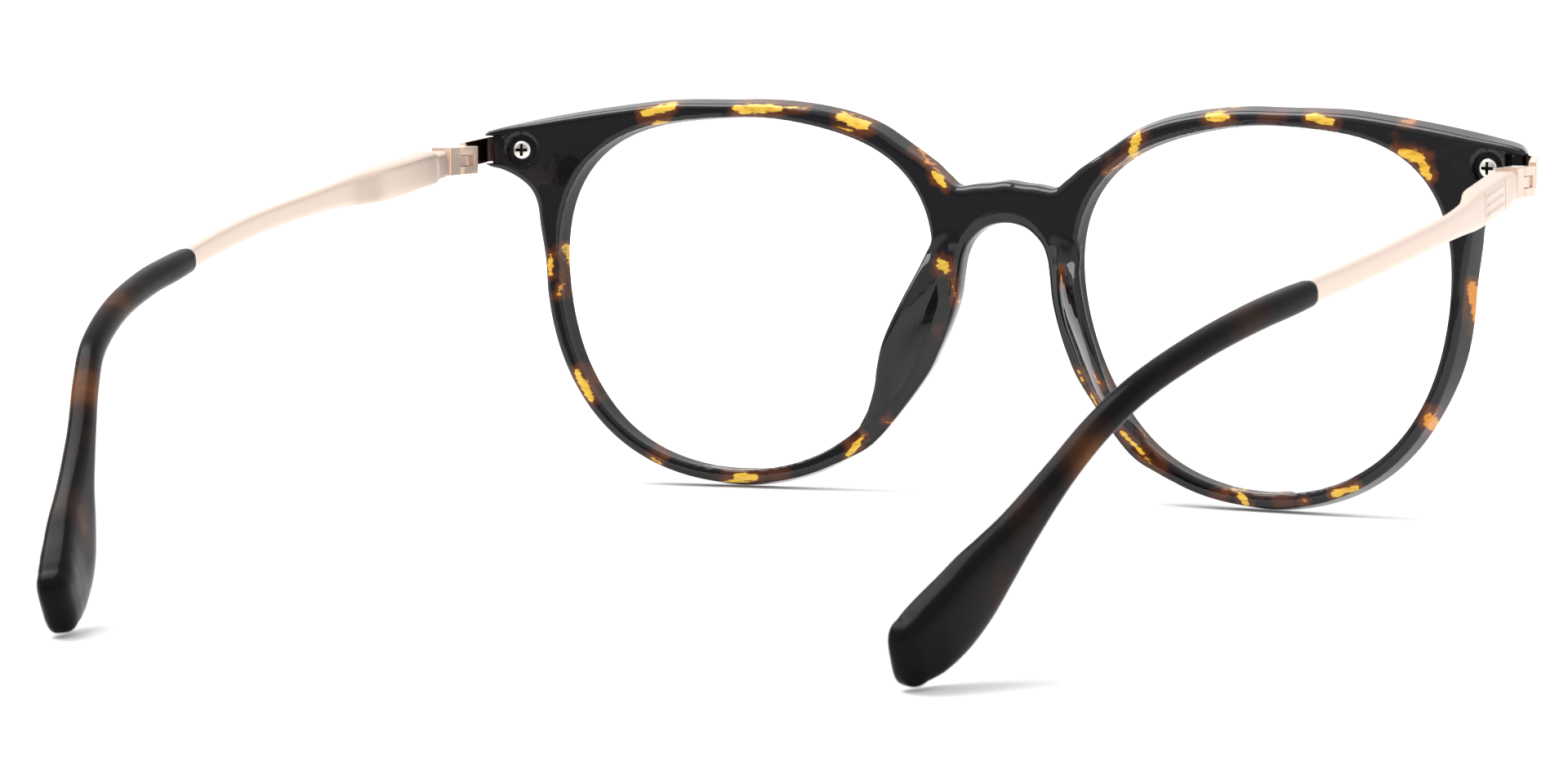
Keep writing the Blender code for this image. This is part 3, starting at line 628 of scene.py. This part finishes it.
TABLE_STEP, TABLE_X, TABLE_Z = 0.2, -1.0, -46.0
table_x, table_z = np.meshgrid(np.arange(TABLE_X, 73.5, TABLE_STEP),
                               np.arange(TABLE_Z, 10.0, TABLE_STEP), indexing="ij")
half_outline = outline_half()
whole_outline = np.vstack([half_outline, half_outline[-2:0:-1] * (-1, 1)])
opening = lens_curve(np.linspace(0, 2 * math.pi, 360, endpoint=False))
OUTER = signed_distance(whole_outline, table_x, table_z)
INNER = signed_distance(opening, table_x, table_z)


def lookup(table, x, z):
    """Bilinear reading of a distance table."""
    i = np.clip((x - TABLE_X) / TABLE_STEP, 0, table.shape[0] - 1.001)
    j = np.clip((z - TABLE_Z) / TABLE_STEP, 0, table.shape[1] - 1.001)
    a, b = i.astype(int), j.astype(int)
    u, v = i - a, j - b
    low = table[a, b] * (1 - u) + table[a + 1, b] * u
    high = table[a, b + 1] * (1 - u) + table[a + 1, b + 1] * u
    return low * (1 - v) + high * v


# ---------------------------------------------------------------- solid field of the front
def round_max(a, b, r):
    """Intersection of two fields with an edge rounded to radius r."""
    corner = np.hypot(np.maximum(a + r, 0), np.maximum(b + r, 0))
    return np.minimum(np.maximum(a + r, b + r), 0) + corner - r


def smooth_min(a, b, k):
    """Union of two fields with a fillet of reach k."""
    h = np.maximum(k - np.abs(a - b), 0) / k
    return np.minimum(a, b) - h * h * k / 4


def ease(v, low, high):
    """Smooth step from 0 at low to 1 at high."""
    t = np.clip((v - low) / (high - low), 0, 1)
    return t * t * (3 - 2 * t)


trimmed = tuple((z, foot, crest - trim, high)
                for (z, foot, crest, high), trim in zip(PADS, PAD_TRIM))
PAD_ROWS = catmull(PAD_TOP + trimmed + PAD_BOTTOM, 12)[::-1]
SEAT_SLOPE = math.atan(2 * CURVE_X * SCREW_X)
SEAT_Y = bend(SCREW_X, 0.0)


def seat_frame(x, y):
    """Distance outwards along the back face from the screw, and forwards into the acetate."""
    dx, dy = x - SCREW_X, y - SEAT_Y
    cos, sin = math.cos(SEAT_SLOPE), math.sin(SEAT_SLOPE)
    return dx * cos + dy * sin, dx * sin - dy * cos


def at_seat(along, into, z):
    """Design point from seat_frame distances."""
    cos, sin = math.cos(SEAT_SLOPE), math.sin(SEAT_SLOPE)
    return np.array([SCREW_X + along * cos + into * sin, SEAT_Y + along * sin - into * cos, z])


def rim_field(x, depth, z):
    """Rims, bridge and endpieces between the outlines, without pads or cuts."""
    fore = np.clip(-depth / FRONT_T, -0.2, 1.1)        # 0 at the back face, 1 at the front face
    saddle = 1 - ease(x, 1.0, 6.0)
    # raise the bridge's upper edge beside its middle, lower it at the middle
    lift = (1 - saddle) * (1 - ease(x, 7.5, 11.0)) * (0.42 + 0.23 * fore)
    lift = lift - 0.38 * saddle * (1 - fore)
    lift = lift * ease(z, -7.0, -5.5) + 0.3 * (1 - ease(x, 2.0, 12.0))
    end_shift = ease(x, 61.0, 67.0) * (0.95 - 1.5 * fore)
    outer_gap, inner_gap = lookup(OUTER, x - end_shift, z - lift), lookup(INNER, x, z)

    # regions of the outline, each with its own slant through the thickness
    temporal = ease(x, 18.0, 36.0)
    nose = ease(-z, 5.0, 10.0) * (1 - ease(x, 15.0, 24.0))
    flank = ease(-z, 2.0, 8.0) * (1 - ease(-z, 22.0, 32.0))
    outer = outer_gap + temporal * (0.5 - (0.72 + 0.53 * flank) * fore)
    outer = outer + ((1 - temporal) * ease(x, 5.0, 14.0) * ease(z, -16.0, -8.0) * (1 - nose)
                     * (-0.1 - 0.8 * fore))
    outer = outer + nose * (0.6 * fore - 0.8)
    bridge_slant = np.where(z > -6.0, 0.05, 0.3 - 0.6 * fore)
    outer = outer + (1 - ease(x, 5.0, 9.0)) * bridge_slant * ease(np.abs(z + 6.0), 0.0, 1.5)
    # the opening widens towards the back edge and the front, less so at the bottom
    inner = -inner_gap - 0.10 * ease(depth, -2.4, 0.0)
    inner = inner - 0.3 * np.clip(fore, 0, 1) * (0.3 + 0.7 * ease(z, -38.0, -30.0))

    side = np.maximum(outer, inner)
    at_bridge = 1 - ease(x, 4.5, 9.5)
    back_r = np.where(outer > inner, 0.70 + 0.35 * at_bridge - 0.2 * ease(x, 56, 62), 0.40)
    front_r = np.where(outer > inner, 0.5 + 0.3 * at_bridge, 0.35)
    return np.where(depth > -FRONT_T / 2, round_max(side, depth, back_r),
                    round_max(side, -FRONT_T - depth, front_r))


def pad_field(x, depth, z):
    """Nose pad: in each z slice, a tapering bar along a curve from foot to crest."""
    foot, crest, high = (np.interp(z, PAD_ROWS[:, 0], PAD_ROWS[:, k]) for k in (1, 2, 3))
    start = np.stack([foot + 0.95, np.full_like(foot, -1.5)], 1)
    middle = np.stack([(foot + crest) / 2 + 0.35, high * 0.42 - 0.45], 1)
    end = np.stack([crest + 0.02, high - 0.62], 1)
    here = np.stack([x, depth], 1)
    count = 7
    curve = [(1 - t) ** 2 * start + 2 * t * (1 - t) * (2 * middle - (start + end) / 2)
             + t * t * end for t in np.linspace(0, 1, count)]
    best = np.full(len(x), 1e9)
    for k in range(count - 1):
        base, span = curve[k], curve[k + 1] - curve[k]
        length = np.maximum((span * span).sum(1), 1e-9)
        s = np.clip(((here - base) * span).sum(1) / length, 0, 1)
        radius = 1.05 - 0.45 * ((k + s) / (count - 1))
        best = np.minimum(best, np.hypot(*(here - base - s[:, None] * span).T) - radius)
    # fade out at the pad's upper and lower ends, and stay clear of the front face
    best = best + 1.2 * (ease(z, -11.0, -8.4) + ease(-z, 34.0, 36.4))
    return np.maximum(best, -FRONT_T + 0.6 - depth)


def cut_endpiece(solid_field, x, depth, z):
    """Cut the screw seat, its hole and the slots that open outwards beside it."""
    along, into = seat_frame(x, bend(x, z, depth))
    radial = np.hypot(along, z)
    slot = np.abs(z) - 1.75
    seat = np.maximum(radial - 2.0, into - 0.75)
    pocket = np.maximum(np.maximum(-2.7 - along, slot), np.maximum(1.4 - into, into - 2.65))
    shallow_step = np.maximum(np.maximum(2.3 - along, into - 0.95), slot)
    deep_step = np.maximum(np.maximum(4.1 - along, into - 2.0), slot)
    hole = np.maximum(radial - 0.8, np.abs(into - 1.8) - 1.35)
    result = round_max(solid_field, -seat, 0.22)
    result = np.maximum(result, -pocket)
    result = round_max(result, -shallow_step, 0.15)
    result = round_max(result, -deep_step, 0.10)
    return np.maximum(result, -hole)


def front_field(x, depth, z):
    """Negative inside the acetate; depth is behind (+) or in front of (-) the back face."""
    x = np.abs(x)
    field = rim_field(x, depth, z)
    near = (x < 22) & (z < -8) & (z > -37)
    if near.any():
        pad = pad_field(x[near], depth[near], z[near])
        field[near] = smooth_min(field[near], pad, 1.1)
    near = x > 58
    if near.any():
        field[near] = cut_endpiece(field[near], x[near], depth[near], z[near])
    return field


def near_front(x, z):
    """Columns of the grid that can hold acetate."""
    x = np.abs(x)
    rim = (lookup(OUTER, x, z) < 1.3) & (lookup(INNER, x, z) > -1.3)
    return rim | ((x < 21) & (x > 4) & (z < -8) & (z > -37))


# ---------------------------------------------------------------- dual contouring
def crossings(field, axes, values, edges, axis, step):
    """Surface points on the grid edges that start at these indices, by false position."""
    far_ends = edges.copy()
    far_ends[:, axis] += 1
    start = values[tuple(edges.T)].astype(float)
    end = values[tuple(far_ends.T)].astype(float)
    base = np.stack([axes[k][edges[:, k]] for k in range(3)], 1)
    low, high = np.zeros(len(edges)), np.ones(len(edges))
    share = np.clip(start / (start - end), 0.02, 0.98)
    for _ in range(4):
        here = base.copy()
        here[:, axis] += share * step
        value = field(*here.T)
        same = (value < 0) == (start < 0)
        low, start = np.where(same, share, low), np.where(same, value, start)
        high, end = np.where(same, high, share), np.where(same, end, value)
        drop = np.where(np.abs(start - end) < 1e-9, 1e-9, start - end)
        share = low + (high - low) * np.clip(start / drop, 0.1, 0.9)
    base[:, axis] += share * step
    return base


def field_normals(field, points):
    nudges = 0.03 * np.eye(3)
    normals = np.stack([field(*(points + e).T) - field(*(points - e).T) for e in nudges], 1)
    normals /= np.maximum(np.linalg.norm(normals, axis=1), 1e-9)[:, None]
    return normals


def cell_vertices(owner, count, points, normals, step):
    """One vertex per cell that best fits the tangent planes of its crossings."""
    crossings_in = np.bincount(owner, minlength=count).astype(float)
    mass = np.stack([np.bincount(owner, points[:, k], count) for k in range(3)], 1)
    mass = mass / crossings_in[:, None]
    offset = (normals * (points - mass[owner])).sum(1)
    matrix, target = np.zeros((count, 3, 3)), np.zeros((count, 3))
    for i in range(3):
        target[:, i] = np.bincount(owner, normals[:, i] * offset, count)
        for j in range(i, 3):
            entry = np.bincount(owner, normals[:, i] * normals[:, j], count)
            matrix[:, i, j] = matrix[:, j, i] = entry
    matrix += np.eye(3) * (0.08 * crossings_in)[:, None, None]     # pull to the mean point
    shift = np.linalg.solve(matrix, target[:, :, None])[:, :, 0]
    return mass + np.clip(shift, -step, step)


def contour(field, step, reach_x, depth_range, z_range, wanted):
    """Dual contouring on a grid symmetric about x = 0: flat-frame points and quads."""
    half_count = int(reach_x / step)
    axes = (np.arange(-half_count, half_count + 1) * step,
            np.arange(depth_range[0], depth_range[1] + step, step),
            np.arange(z_range[0], z_range[1] + step, step))
    shape = tuple(len(a) for a in axes)
    values = np.full(shape, 1.0, np.float32)
    column_x, column_z = np.nonzero(wanted(*np.meshgrid(axes[0], axes[2], indexing="ij")))
    for j, depth in enumerate(axes[1]):
        values[column_x, j, column_z] = field(
            axes[0][column_x], np.full(len(column_x), depth), axes[2][column_z])
    solid_at = values < 0
    strides = np.array([shape[1] * shape[2], shape[2], 1])
    cells, normals, points, quads = [], [], [], []
    for axis in range(3):
        low, high = [slice(None)] * 3, [slice(None)] * 3
        low[axis], high[axis] = slice(0, -1), slice(1, None)
        edges = np.argwhere(solid_at[tuple(low)] != solid_at[tuple(high)])
        found = crossings(field, axes, values, edges, axis, step)
        directions = field_normals(field, found)
        u, v = (axis + 1) % 3, (axis + 2) % 3
        ring = []
        for du, dv in ((-1, -1), (0, -1), (0, 0), (-1, 0)):
            cell = edges.copy()
            cell[:, u] += du
            cell[:, v] += dv
            ring.append(cell @ strides)
            cells.append(ring[-1])
            normals.append(directions)
            points.append(found)
        ring = np.stack(ring, 1)
        leaving = solid_at[tuple(edges.T)][:, None]
        quads.append(np.where(leaving, ring, ring[:, ::-1]))
    cells, normals, points, quads = map(np.concatenate, (cells, normals, points, quads))
    ids, owner = np.unique(cells, return_inverse=True)
    vertices = cell_vertices(owner, len(ids), points, normals, step)
    index = np.unravel_index(ids, shape)
    corner = np.stack([axes[k][index[k]] for k in range(3)], 1)
    vertices = np.clip(vertices, corner - 0.1 * step, corner + 1.1 * step)
    return vertices, np.searchsorted(ids, quads)


# ---------------------------------------------------------------- front
def streak_values(x, z, depth):
    """Streak field, positive inside, and tone; streaks drift a little with depth."""
    field, tone = np.full(len(x), -3.0), np.full(len(x), 0.9)
    for x0, z0, x1, z1, half_width, streak_tone in STREAKS:
        span = np.array([x1 - x0, z1 - z0])
        here = np.stack([x - x0 + 0.10 * depth, z - z0 + 0.05 * depth], 1)
        t = np.clip(here @ span / max(np.hypot(*span) ** 2, 1e-6), 0, 1)
        gap = np.hypot(here[:, 0] - t * span[0], here[:, 1] - t * span[1])
        taper = half_width * (0.75 + 0.25 * np.sin(math.pi * t))
        value = (taper - gap) / max(0.55, half_width)
        tone = np.where(value > field, streak_tone, tone)
        field = np.maximum(field, value)
    return field, tone


def cloud_values(x, z):
    cloud = np.full(len(x), -0.35)
    for cloud_x, cloud_z, reach in CLOUDS:
        cloud = np.maximum(cloud, 0.35 - np.hypot(x - cloud_x, z - cloud_z) / reach * 0.7)
    return cloud


def build_front():
    step = 0.26
    points, quads = contour(front_field, step, reach_x=72.5, depth_range=(-4.4, 6.6),
                            z_range=(-44.5, 8.9), wanted=near_front)
    points[:, 1] = bend(points[:, 0], points[:, 2], points[:, 1])
    front = outward(new_mesh("front", place(points), quads, ACETATE))

    positions = np.empty(len(front.data.vertices) * 3, np.float32)
    front.data.vertices.foreach_get("co", positions)
    x, y, z = unplace(positions.reshape(-1, 3)).T
    depth = y - bend(x, z)
    streak, tone = streak_values(x, z, depth)
    # wall of the lens opening in front of the back edge, less polished
    wall = (np.clip(1.4 - lookup(INNER, np.abs(x), z) / 0.25, 0, 1)
            * np.clip((-0.35 - depth) / 0.4, 0, 1))
    for name, values in (("streak", streak), ("tone", tone), ("cloud", cloud_values(x, z)),
                         ("wall", wall)):
        attribute = front.data.attributes.new(name, "FLOAT", "POINT")
        attribute.data.foreach_set("value", values.astype(np.float32))
    register(front, "front", "front_frame")


build_front()


# ---------------------------------------------------------------- lenses
def build_lenses():
    angles = np.linspace(0, 2 * math.pi, 160, endpoint=False)
    centre = np.array(LENS_CENTRE)
    edge = lens_curve(angles)
    faces = [centre + (edge - centre) * share for share in (0.06, 0.2, 0.4, 0.6, 0.8, 0.93)]
    shoulder, rim = lens_curve(angles, -0.35), lens_curve(angles, -0.02)
    half, rim_half = LENS_T / 2, 0.3
    profile = [(outline, half) for outline in faces + [shoulder]]
    profile += [(rim, rim_half), (rim, -rim_half)]
    profile += [(outline, -half) for outline in [shoulder] + faces[::-1]]
    rings = np.array([np.stack([q[:, 0], bend(q[:, 0], q[:, 1], GROOVE_AT + depth), q[:, 1]], 1)
                      for q, depth in profile])
    for name, side in SIDES:
        lens = solid("lens_" + name + "_fine", rings * (side, 1, 1), CLEAR, sharp=30)
        register(lens, "front", "lens_" + name)


build_lenses()


# ---------------------------------------------------------------- temples
def cross_axes(direction):
    """Unit vectors outwards and upwards, square to a direction along the temple."""
    out = np.array([1.0, 0, 0]) - direction[0] * direction
    out /= np.linalg.norm(out)
    up = np.cross(out, direction)
    return out, -up if up[2] < 0 else up


def section(height, thickness, sides, power):
    """Superellipse: up and out coordinates."""
    angle = np.linspace(0, 2 * math.pi, sides, endpoint=False) + math.pi / sides
    c, s = np.cos(angle), np.sin(angle)
    up = np.sign(c) * np.abs(c) ** (2 / power)
    out = np.sign(s) * np.abs(s) ** (2 / power)
    return np.stack([up * height / 2, out * thickness / 2], 1)


def sweep(stations, sides, power):
    """Rings square to the centre line; power is one value or one per station."""
    stations = np.array(stations, float)
    centres = stations[:, :3]
    directions = np.gradient(centres, axis=0)
    directions /= np.linalg.norm(directions, axis=1)[:, None]
    power = np.broadcast_to(power, (len(stations),))
    rings = []
    for i, (*_, height, thickness) in enumerate(stations):
        out, up = cross_axes(directions[i])
        s = section(height, thickness, sides, power[i])
        rings.append(centres[i] + s[:, :1] * up + s[:, 1:] * out)
    return rings


mouth = np.array(BOX_MOUTH)
box_dir = np.array(BOX_END[:3]) - mouth
box_dir /= np.linalg.norm(box_dir)
box_out, box_up = cross_axes(box_dir)


def bore(t):
    """Point on the box's axis, t behind its mouth."""
    return mouth + t * box_dir


# front of the spring box: distance from the mouth, height, thickness
BOX_SIZE = (4.3, 2.7)
BOX_NECK = ((0.0, 3.30, 2.60), (0.10, 3.46, 2.76), (0.28, 3.5, 2.8), (1.2, 3.5, 2.8),
            (2.2, 3.5, 2.8), (2.45, 3.6, 2.8), (2.7, 4.12, 2.74), (2.95, 4.28, 2.7),
            (3.3, *BOX_SIZE))
BOX_FACE = BOX_SIZE[1] / 2             # outer face from the axis
PANEL_LINES = (5.9, 15.8)              # grooves across the face at either end of the ribs
LINE_HALF_WIDTH, LINE_HALF_HEIGHT, LINE_DEPTH = 0.09, 3.0, 0.24
RIB_SPAN, RIB_PITCH = (6.8, 14.9), 1.05
RIB_HALF_HEIGHT, RIB_RISE, RIB_SINK = 0.30, 0.17, 0.02


def panel_line(index, t):
    """Cutter for one groove."""
    middle = bore(t) + BOX_FACE * box_out
    corners = [(i * LINE_HALF_HEIGHT, j * LINE_DEPTH) for i, j in ((1, -1), (1, 1), (-1, 1), (-1, -1))]
    ends = (middle - LINE_HALF_WIDTH * box_dir, middle + LINE_HALF_WIDTH * box_dir)
    rings = [[end + up * box_up + out * box_out for up, out in corners] for end in ends]
    return solid("cut_line_%d" % index, rings)


def rib(row):
    """Half-sunk bar with rounded ends along the face; row is -1, 0 or 1, upwards."""
    start, end = (bore(t) + BOX_FACE * box_out + RIB_PITCH * row * box_up for t in RIB_SPAN)
    angles = [2 * math.pi * j / 20 for j in range(20)]
    rings = []
    for s in np.linspace(0, 1, 18):
        swell = math.sqrt(1 - max(0.0, 1 - min(s, 1 - s) * 16) ** 2) * 0.9 + 0.1
        centre = start + (end - start) * s
        rings.append([centre + RIB_HALF_HEIGHT * swell * math.cos(q) * box_up
                      + (RIB_RISE * swell * math.sin(q) - RIB_SINK) * box_out for q in angles])
    return solid("rib_%d" % (row + 1), rings)


def build_arm():
    """Spring box with its neck, tapering into the bar."""
    box = [(*bore(t), *size) for t, *size in BOX_NECK]
    box += [(*bore(t), *BOX_SIZE) for t in np.linspace(4.2, 11.0, 8)]
    tail = catmull([(*bore(11.8), *BOX_SIZE), BOX_END, *BAR], 5)[1:]
    tail_power = np.interp(np.arange(len(tail)), [0, 8, 14, len(tail)], [6.0, 5.5, 4.5, 4.5])
    power = np.concatenate([np.full(len(box), 6.0), tail_power])
    arm = solid("temple_arm_left_fine", sweep(np.vstack([box, tail]), 48, power), GOLD)
    bore_profile = ((0.0, BORE_R), (1.0, BORE_R))
    boolean(arm, [rod("cut_bore", bore(-1), bore(15.2), bore_profile, 40)])
    boolean(arm, [panel_line(k, t) for k, t in enumerate(PANEL_LINES)])
    for tool in [rib(row) for row in (-1, 0, 1)]:
        boolean(arm, [tool], "UNION")
    return arm


def build_tip():
    """Tip that swells into a flat paddle with a rounded end, hollowed for the bar."""
    body = catmull(TIP, 6)
    first, last = body[0], body[-1]
    forward = body[1, :3] - body[0, :3]
    forward /= np.linalg.norm(forward)
    start = [(*(first[:3] + forward * distance), first[3] * scale, first[4] * scale)
             for distance, scale in ((0.0, 0.80), (0.06, 0.90), (0.16, 0.97), (0.32, 1.0))]
    to_end = np.array(TIP_TO) - last[:3]
    end_count = 14
    end = []
    for k in range(1, end_count + 1):
        q = math.sin(k / end_count * math.pi / 2) ** 0.77
        high, thick = (1 - q ** 2.7) ** (1 / 2.7), (1 - q ** 2.1) ** (1 / 2.1)
        end.append((*(last[:3] + to_end * q), max(last[3] * high, 0.5), max(last[4] * thick, 0.3)))
    stations = np.vstack([np.array(start), body[1:], np.array(end)])
    count = len(stations)
    power = np.interp(np.arange(count), [0, 20, 44, 62, count], [2.6, 2.5, 3.0, 4.2, 3.4])
    tip = solid("temple_tip_left_fine", sweep(stations, 48, power), TIP_ACETATE, sharp=60)
    boolean(tip, [solid("cut_socket", sweep(TIP_SOCKET, 24, 4.5))], sharp=60)
    return tip


arm, tip = build_arm(), build_tip()
register_pair(arm, "temple_{}", "temple_arm_{}")
register_pair(tip, "temple_{}", "temple_tip_{}")

# ---------------------------------------------------------------- endpiece screws
SCREW_FROM, SCREW_TO, SCREW_LENGTH = -0.15, 3.05, 3.2      # depths into the acetate
# domed head: distance from its top, radius
SCREW_HEAD = ((0.0, 0.40), (0.02, 0.62), (0.06, 0.82), (0.12, 0.98), (0.20, 1.10), (0.30, 1.18),
              (0.42, 1.23), (0.58, 1.25), (0.80, 1.25), (0.82, 0.65))
SCREW_POINT = ((0.91, 0.65), (1.0, 0.4))                   # share of the length, radius
CROSS_ARMS = ((0.80, 0.20), (0.20, 0.80))                  # half lengths along the face and in z
CROSS_TAPER = ((-0.6, 1.08), (-0.15, 1.0), (0.45, 0.72))   # depth, scale


def build_screw():
    """Screw with a domed head on the back face and a cross recess painted near-black as shade."""
    profile = [(distance / SCREW_LENGTH, radius) for distance, radius in SCREW_HEAD]
    screw = rod("endpiece_screw_left_fine", at_seat(0, SCREW_FROM, 0), at_seat(0, SCREW_TO, 0),
                profile + list(SCREW_POINT), 64, STEEL)
    screw.data.materials.append(RECESS_SHADE)
    for k, (along, high) in enumerate(CROSS_ARMS):
        rings = [[at_seat(i * along * scale, depth, j * high * scale)
                  for i, j in ((-1, -1), (1, -1), (1, 1), (-1, 1))]
                 for depth, scale in CROSS_TAPER]
        boolean(screw, [solid("cut_cross_%d" % k, rings, RECESS_SHADE)], sharp=30)
    head = place(at_seat(0, 0, 0))
    inwards = place(at_seat(0, 1, 0)) - head
    # faces inside the cross recess get the painted shade
    for face in screw.data.polygons:
        offset = np.array(face.center) - head
        depth = offset @ inwards / (inwards @ inwards)
        in_recess = 0.0 < depth < 0.9 and np.linalg.norm(offset - depth * inwards) < 0.00095
        face.material_index = 1 if in_recess else 0
    return screw


register_pair(build_screw(), "front", "endpiece_screw_{}")

# ---------------------------------------------------------------- CAD parts that stay
# material, bevel width in mm
KEPT_PARTS = {"endpiece_plate": (POLISHED, 0.07), "hinge_screw": (STEEL, 0.04),
              "hinge_slider": (POLISHED, 0.07), "slider_nut": (STEEL, 0.03),
              "guide_bush": (BRASS, 0.0), "flex_spring": (SPRING, 0.0)}
PLATE_LEG_Y = 8.6                      # painted shade on the plate's inner and back faces in front of this y


def dress_part(part, side, sign, material, width):
    """Material, painted shade on the plate's inner and back faces, and softened edges for a CAD part.
    """
    obj = frame["nodes"][part + "_" + side]
    plate = part == "endpiece_plate"
    obj.data.materials.clear()
    obj.data.materials.append(material)
    if plate:
        obj.data.materials.append(PLATE_SHADE)
    for face in obj.data.polygons:
        # plate faces in front that look inwards or back get a painted shade, a dark rose gold
        dark = (plate and face.center[1] * 1000 + CENTRE_Y < PLATE_LEG_Y
                and (face.normal[0] * sign < -0.3 or face.normal[1] > 0.5))
        face.material_index = 1 if dark else 0
    weld = obj.modifiers.new("weld", "WELD")
    weld.merge_threshold = 2e-6
    if width:
        bevel = obj.modifiers.new("soft_edges", "BEVEL")
        bevel.width = width * 0.001
        bevel.segments = 3
        bevel.limit_method = "ANGLE"
        bevel.angle_limit = math.radians(32)
        bevel.use_clamp_overlap = True
        bevel.harden_normals = False
    obj.modifiers.new("by_angle", "WEIGHTED_NORMAL").keep_sharp = True


for part, (material, width) in KEPT_PARTS.items():
    for side, sign in SIDES:
        dress_part(part, side, sign, material, width)


# ---------------------------------------------------------------- stage, in metres
def build_floor(half_size=4.0):
    mesh = bpy.data.meshes.new("floor")
    corners = [(i * half_size, j * half_size, 0) for i, j in ((-1, -1), (1, -1), (1, 1), (-1, 1))]
    mesh.from_pydata(corners, [], [(0, 1, 2, 3)])
    floor = link_object("floor", mesh)
    mesh.materials.append(floor_white())
    floor.location.z = min(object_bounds()[0].z, 0.0) - 0.00005


def build_world():
    """White all round, dimmer towards +y except to the camera."""
    world = bpy.data.worlds.new("studio")
    bpy.context.scene.world = world
    world.use_nodes = True
    nodes = Graph(world.node_tree)
    background = world.node_tree.nodes["Background"]
    background.inputs["Color"].default_value = (1, 1, 1, 1)
    direction = nodes.add("ShaderNodeTexCoord").outputs["Generated"]
    toward_y = nodes.separate(direction)[1]
    dimming = nodes.add("ShaderNodeMapRange", interpolation_type="SMOOTHSTEP")
    for key, value in (("Value", toward_y), ("From Min", 0.70), ("From Max", 0.96),
                       ("To Min", 1.0), ("To Max", 0.30)):
        nodes.put(dimming.inputs[key], value)
    seen = nodes.camera_ray()
    strength = nodes.add("ShaderNodeMix", data_type="FLOAT")
    for socket, value in ((0, seen), (2, dimming.outputs[0]), (3, 1.05)):
        nodes.put(strength.inputs[socket], value)
    nodes.put(background.inputs["Strength"], strength.outputs[0])


def build_light():
    """Soft square light above the wearer's left."""
    data = bpy.data.lights.new("top_soft", "AREA")
    data.shape = "RECTANGLE"
    data.size = data.size_y = 0.6
    data.energy = 7.0
    light = link_object("top_soft", data)
    at, look = (0.42, 0.02, 0.75), (0, 0.03, 0)
    light.location = at
    light.rotation_mode = "QUATERNION"
    light.rotation_quaternion = (Vector(look) - Vector(at)).to_track_quat("-Z", "Y")


def build_camera():
    """Camera behind and above the wearer's right temple, looking forwards."""
    yaw, pitch, roll = 0.4015, 0.0849, 0.003
    eye = np.array([-221.96, 593.06, 24.18])           # design frame, mm
    focus = np.array([4.0, 3.0, -6.0])
    ahead = np.array([math.sin(yaw) * math.cos(pitch), -math.cos(yaw) * math.cos(pitch),
                      -math.sin(pitch)])
    level = np.array([-math.cos(yaw), -math.sin(yaw), 0.0])
    upright = np.cross(level, ahead)
    right = level * math.cos(roll) + upright * math.sin(roll)
    up = -level * math.sin(roll) + upright * math.cos(roll)

    data = bpy.data.cameras.new("camera")
    camera = link_object("camera", data)
    data.sensor_width = 36.0
    data.lens = 115.7625
    data.dof.use_dof = True
    data.dof.focus_distance = float(np.dot(focus - eye, ahead)) * 0.001
    data.dof.aperture_fstop = 110.0
    data.clip_start, data.clip_end = 0.01, 50.0
    matrix = Matrix((turn(right), turn(up), -turn(ahead))).transposed().to_4x4()
    matrix.translation = Vector(place(eye).tolist())
    camera.matrix_world = matrix
    bpy.context.scene.camera = camera


build_floor()
build_world()
build_light()
build_camera()
bpy.context.scene.view_settings.view_transform = "Standard"
